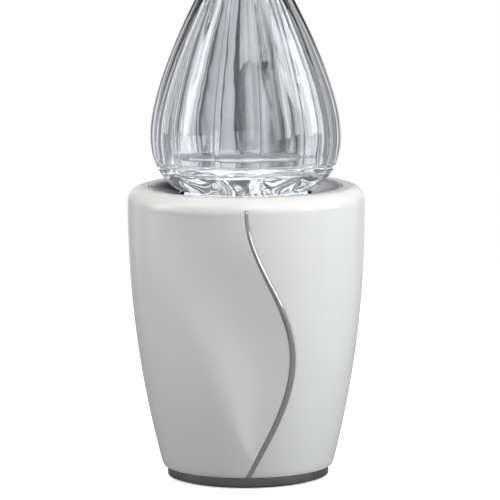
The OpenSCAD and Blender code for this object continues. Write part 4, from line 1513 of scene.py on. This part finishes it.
@dataclass
class RearPanel:
    """The power jack and the push switch at the back."""

    x: float = 13.0
    z: float = 23.0
    face_y: float = 55.002
    barrel_r: float = 6.0
    bezel_r: float = 8.2
    bezel_t: float = 2.0
    inner_y: float = 37.143
    bore_r: float = 2.85
    bore_depth: float = 9.0
    button_r: float = 4.5
    button_out: float = 2.2
    thread: float = 1.0

    def barrel(self, inner: Sequence[Point2]) -> list[Point2]:
        """Give a threaded barrel's outline with its bezel, closed by the inside that is given.

        Args:
            inner: The points of the barrel's inside, from the bezel inwards.

        Returns:
            The closed outline's points.
        """
        out_y = self.face_y + self.bezel_t
        points = [(self.barrel_r - 0.6, self.inner_y), (self.barrel_r, self.inner_y + 0.6)]
        y = self.inner_y + 1.0
        while y < self.face_y - 7:
            points += [(self.barrel_r - 0.35, y + 0.5 * self.thread), (self.barrel_r, y + self.thread)]
            y += self.thread
        points += [(self.barrel_r, self.face_y), (self.bezel_r, self.face_y)]
        points += arc((self.bezel_r - 0.9, out_y - 0.9), 0.9, 0, 90, 5)
        points += [(self.bezel_r - 1.6, out_y)]
        points += [(self.bezel_r - 1.9, out_y - 0.3), (self.bezel_r - 2.3, out_y - 0.3)]
        return points + list(inner)

    def jack(self) -> None:
        """Build the jack and its pin."""
        out_y = self.face_y + self.bezel_t
        floor_y = out_y - self.bore_depth
        inside = [
            (self.bore_r + 0.9, out_y - 0.3), (self.bore_r + 0.2, out_y - 0.6), (self.bore_r, out_y - 1.0),
            (self.bore_r, floor_y), (1.5, floor_y), (1.5, floor_y - 2.5), (0.02, floor_y - 2.5),
            (0.02, self.inner_y),
        ]
        socket = turned_y("jack_socket", self.barrel(inside), -self.x, self.z)
        socket.piece(Look.BLACK, "root", ["power_jack"], 30.0)
        root_y, tip = floor_y - 2.5, out_y - 0.8
        pin = [(0.02, root_y), (1.5, root_y), (1.5, floor_y), (1.05, floor_y), (1.05, tip - 0.6)]
        pin += arc((0.45, tip - 0.6), 0.6, 0, 90, 5) + [(0.02, tip)]
        centre = turned_y("jack_centre_pin", pin, -self.x, self.z, 40)
        centre.piece(Look.STEEL, "root", ["jack_pin"], 30.0)

    def switch(self) -> None:
        """Build the switch's barrel and its button."""
        out_y = self.face_y + self.bezel_t
        guide, cap = self.button_r + 0.25, self.button_r + 0.85
        inside = [
            (guide + 0.3, out_y - 0.3), (guide, out_y - 0.7), (guide, self.face_y + 0.4),
            (cap, self.face_y + 0.4), (cap, self.face_y - 6), (0.02, self.face_y - 6), (0.02, self.inner_y),
        ]
        sleeve = turned_y("switch_sleeve", self.barrel(inside), self.x, self.z)
        sleeve.piece(Look.BLACK, "root", ["switch_barrel"], 30.0)
        end = out_y + self.button_out
        button = [(2.6, self.face_y - 1.4), (cap - 0.25, self.face_y - 1.4), (cap - 0.25, self.face_y)]
        button += [(self.button_r, self.face_y)] + arc((self.button_r - 0.7, end - 0.7), 0.7, 0, 90, 5)
        button += [(mix(3.2, 0.02, i / 8), end - 0.35 * smooth(i / 4)) for i in range(9)]
        button += [(0.02, self.face_y + 1.0), (2.6, self.face_y + 1.0)]
        cap_piece = turned_y("switch_button_cap", button, self.x, self.z)
        cap_piece.piece(Look.STEEL, "button", ["switch_button"], 30.0)

    def build(self) -> None:
        """Build the jack and the switch."""
        self.jack()
        self.switch()


@dataclass
class Pump:
    """The pump's foam filter and flow dial."""

    axis_z: float = 62.9
    foam_r: float = 13.5
    dial_r: float = 12.0
    ports: int = 6
    port_circle: float = 8.0
    knurls: int = 48

    def foam(self) -> bpy.types.Object:
        """Build the foam disc with rounded edges, roughened a little and pitted by its cells.

        Returns:
            The filter.
        """
        y0, y1 = low("filter_sponge").y, high("filter_sponge").y
        outline = [(0.02, y0 + 0.1)] + [(self.foam_r * i / 12, y0 + 0.1) for i in range(1, 12)]
        outline += arc((self.foam_r - 1.1, y0 + 1.2), 1.0, -90, 0, 4)
        outline += arc((self.foam_r - 1.1, y1 - 1.2), 1.0, 0, 90, 4)
        outline += [(self.foam_r * i / 12, y1 - 0.1) for i in range(11, 0, -1)] + [(0.02, y1 - 0.1)]
        shape = turned_y("pump_foam_filter", outline, 0, self.axis_z, 72)
        shape.move(lambda p: p + 0.12 * lattice.noise_vector(p * 1.3))
        made = shape.piece(Look.FOAM, "root", ["filter_sponge"], 60.0)
        return made

    def dial(self) -> bpy.types.Object:
        """Build the flow dial: a knurled disc with six ports and a finger tab.

        Returns:
            The dial.
        """
        y0, y1 = low("flow_dial").y, high("flow_dial").y
        bore = 2.06
        corners = [(bore, y0, 0.2), (self.dial_r, y0, 0.5), (self.dial_r, y1, 0.5), (bore, y1, 0.2)]
        outline = rounded(corners, 3)
        shape = turned_y("pump_flow_dial", outline, 0, self.axis_z, self.knurls * 4)

        def knurl(p: Vector) -> Vector:
            """Cut shallow knurls into the disc's edge.

            Args:
                p: A point of the plain disc.

            Returns:
                Its place.
            """
            r, angle = math.hypot(p.x, p.z - self.axis_z), math.atan2(p.z - self.axis_z, p.x)
            if r < self.dial_r - 0.4:
                return p
            inward = 1 - 0.25 * (0.5 + 0.5 * math.cos(self.knurls * angle)) / r
            return Vector((p.x * inward, p.y, self.axis_z + (p.z - self.axis_z) * inward))

        shape.move(knurl)
        tab = Shape("tab").block(Vector((self.dial_r - 1.5, y0, -2)), Vector((self.dial_r + 2.5, y1, 2)), 0.5)
        shape.join(tab, Matrix.Translation((0, 0, self.axis_z)) @ Matrix.Rotation(math.radians(-60), 4, "Y"))
        ports = Shape("ports")
        for i in range(self.ports):
            angle = math.tau * i / self.ports
            x, z = self.port_circle * math.cos(angle), self.axis_z - self.port_circle * math.sin(angle)
            ports.rod(2.3, Vector((x, y0 - 1, z)), Vector((x, y1 + 1, z)), 40)
        return shape.piece(Look.BLUE, "dial", ["flow_dial"], 32.0, ports)

    def build(self) -> None:
        """Build the filter and the dial."""
        self.foam()
        self.dial()


PLAIN_NODES: dict[Look, tuple[str, ...]] = {
    Look.BLACK: ("motor_housing", "volute", "intake_cover", "shaft_bushes"),
    Look.LAMINATE: ("stator_core",),
    Look.COPPER: ("stator_coil",),
    Look.RESIN: ("motor_potting",),
    Look.RUBBER: ("motor_seal", "nozzle_seal", "lead_glands"),
    Look.FERRITE: ("rotor_magnet",),
    Look.WHITE: ("impeller",),
    Look.BISCUIT: ("rotor_shaft",),
    Look.STEEL: ("pump_screws", "hose_clamps", "board_screws", "panel_nuts", "switch_spring"),
    Look.SILICONE: ("suction_cups", "riser_hose", "lens_seal"),
    Look.JACKET: ("pump_lead",),
    Look.PALE_JACKET: ("light_lead",),
    Look.RED_JACKET: ("panel_wires",),
    Look.BOARD: ("led_board", "control_board"),
    Look.PARTS: ("board_parts",),
    Look.LED: ("led_chips",),
    Look.GREY: ("tank",),
    Look.SEAL: ("tank_gasket",),
}


# ------------------------------------------------------------------------------ studio


@dataclass
class Studio:
    """Camera, floor, lights and surroundings."""

    distance: float = 3.0
    elevation: float = 7.85
    roll: float = -0.45
    lens: float = 319.5
    aim: tuple[float, float, float] = (0.0024, 0.0, 0.154)
    floor_r: float = 1.4
    middle: tuple[float, float, float] = (0.0, 0.0, 0.17)
    light_distance: float = 1.5

    def camera(self) -> None:
        """Set up the camera."""
        data = bpy.data.cameras.new("camera")
        data.lens = self.lens
        data.sensor_width = 36.0
        data.clip_end = 50.0
        made = bpy.data.objects.new("camera", data)
        bpy.context.scene.collection.objects.link(made)
        rise = math.radians(self.elevation)
        back = Vector((0, -math.cos(rise), math.sin(rise)))
        look = back.to_track_quat("Z", "Y").to_matrix().to_4x4()
        roll = Matrix.Rotation(math.radians(self.roll), 4, "Z")
        made.matrix_world = Matrix.Translation(Vector(self.aim) + back * self.distance) @ look @ roll
        bpy.context.scene.camera = made

    def softbox(
        self, name: str, azimuth: float, rise: float, size: Point2, watts: float, tint: Colour
    ) -> None:
        """Add a soft light that looks at the fountain.

        Args:
            name: Its name.
            azimuth: Its direction in degrees from the front, positive to the right.
            rise: Its height above the horizon in degrees.
            size: Its width and height in metres.
            watts: Its power.
            tint: Its colour.
        """
        data = bpy.data.lights.new(name, "AREA")
        data.shape = "RECTANGLE"
        data.size, data.size_y = size
        data.energy = watts
        data.color = tint
        made = bpy.data.objects.new(name, data)
        bpy.context.scene.collection.objects.link(made)
        turn, lift = math.radians(azimuth), math.radians(rise)
        away = Vector((math.sin(turn) * math.cos(lift), -math.cos(turn) * math.cos(lift), math.sin(lift)))
        place = Vector(self.middle) + away * self.light_distance
        made.matrix_world = Matrix.Translation(place) @ away.to_track_quat("Z", "Y").to_matrix().to_4x4()

    def surroundings(self) -> None:
        """Set up a pale room whose walls have upright light and dark bands, plain white to the camera."""
        world = bpy.data.worlds.new("room")
        world.use_nodes = True
        bpy.context.scene.world = world
        graph = Graph(world.node_tree)
        coords = graph.node("ShaderNodeTexCoord", {}, {})
        way = Socket(graph, coords.outputs["Generated"])
        east, north, up = (graph.axis(way, i) for i in range(3))
        round_way = north.math("ARCTAN2", north, east)
        bands = (round_way * 11.0 + 0.6).sine()
        fine = (round_way * 27.0 + 1.9).sine()
        level = 0.48 + bands * 0.32 + fine * 0.12
        tone = graph.blend(up.step(-0.2, 0.8), (0.96, 0.97, 1.0), (1.0, 0.995, 0.985))
        soft = graph.node("ShaderNodeBackground", {}, {"Color": tone, "Strength": level})
        plain = graph.node("ShaderNodeBackground", {}, {"Color": (1.0, 1.0, 1.0), "Strength": 1.0})
        path = graph.node("ShaderNodeLightPath", {}, {})
        both = graph.node(
            "ShaderNodeMixShader", {},
            {0: Socket(graph, path.outputs["Is Camera Ray"]), 1: Socket(graph, soft.outputs[0]),
             2: Socket(graph, plain.outputs[0])},
        )
        graph.node("ShaderNodeOutputWorld", {}, {0: Socket(graph, both.outputs[0])})

    def floor(self) -> None:
        """Lay a pale round floor that fades into the surroundings."""
        shape = Shape("floor")
        bmesh.ops.create_circle(shape.mesh, cap_ends=True, segments=96, radius=self.floor_r / MM)
        made = shape.thing("floor")
        material = bpy.data.materials.new("pale_floor")
        material.use_nodes = True
        graph = Graph(material.node_tree)
        place = graph.place()
        length = graph.node("ShaderNodeVectorMath", {"operation": "LENGTH"}, {0: place})
        away = Socket(graph, length.outputs[1])
        grain = graph.noise(place, 3.0, 3.0)
        alpha = 1.0 - away.step(0.35 * self.floor_r, 0.85 * self.floor_r)
        seen = graph.node(
            "ShaderNodeBsdfPrincipled", {},
            {
                "Base Color": graph.blend(grain * 0.1, (0.93, 0.93, 0.93), (0.9, 0.9, 0.9)),
                "Roughness": 0.6 + grain * 0.1,
                "Emission Color": (1.0, 1.0, 1.0),
                "Emission Strength": 0.6,
                "Alpha": alpha,
            },
        )
        cast = graph.node(
            "ShaderNodeBsdfPrincipled", {}, {"Base Color": (0.2, 0.2, 0.21), "Roughness": 0.7, "Alpha": alpha}
        )
        path = graph.node("ShaderNodeLightPath", {}, {})
        both = graph.node(
            "ShaderNodeMixShader", {},
            {0: Socket(graph, path.outputs["Is Camera Ray"]), 1: Socket(graph, cast.outputs[0]),
             2: Socket(graph, seen.outputs[0])},
        )
        graph.node("ShaderNodeOutputMaterial", {}, {0: Socket(graph, both.outputs[0])})
        made.data.materials.append(material)

    def build(self) -> None:
        """Set up the studio."""
        self.camera()
        self.surroundings()
        self.floor()
        white, cool, warm = (1.0, 1.0, 1.0), (0.96, 0.98, 1.0), (1.0, 1.0, 0.985)
        tall, square = (0.45, 0.9), (0.7, 0.7)
        self.softbox("key_right", 62.0, 20.0, tall, 5.8, cool)
        self.softbox("side_right", 90.0, 20.0, tall, 6.8, cool)
        self.softbox("front_right", 30.0, 20.0, tall, 2.2, cool)
        self.softbox("high_right", 60.0, 52.0, square, 1.6, cool)
        self.softbox("high_front", 15.0, 52.0, square, 5.4, white)
        self.softbox("side_left", -90.0, 20.0, tall, 5.2, warm)
        self.softbox("high_left", -75.0, 52.0, square, 3.2, warm)
        self.softbox("high_rear", 180.0, 52.0, square, 2.4, white)
        scene = bpy.context.scene
        scene.view_settings.view_transform = "Standard"
        scene.view_settings.look = "None"


def main() -> None:
    """Build the fountain and its studio."""
    logging.basicConfig(level=logging.INFO, format="%(message)s")
    Studio().build()
    for part in (CeramicBody(), Foot(), Dish(), GlassVessel(), LightBridge(), RearPanel(), Pump()):
        part.build()
        log.info("built %s", type(part).__name__)
    for look, nodes in PLAIN_NODES.items():
        dress(look, nodes)


if __name__ == "__main__":
    main()
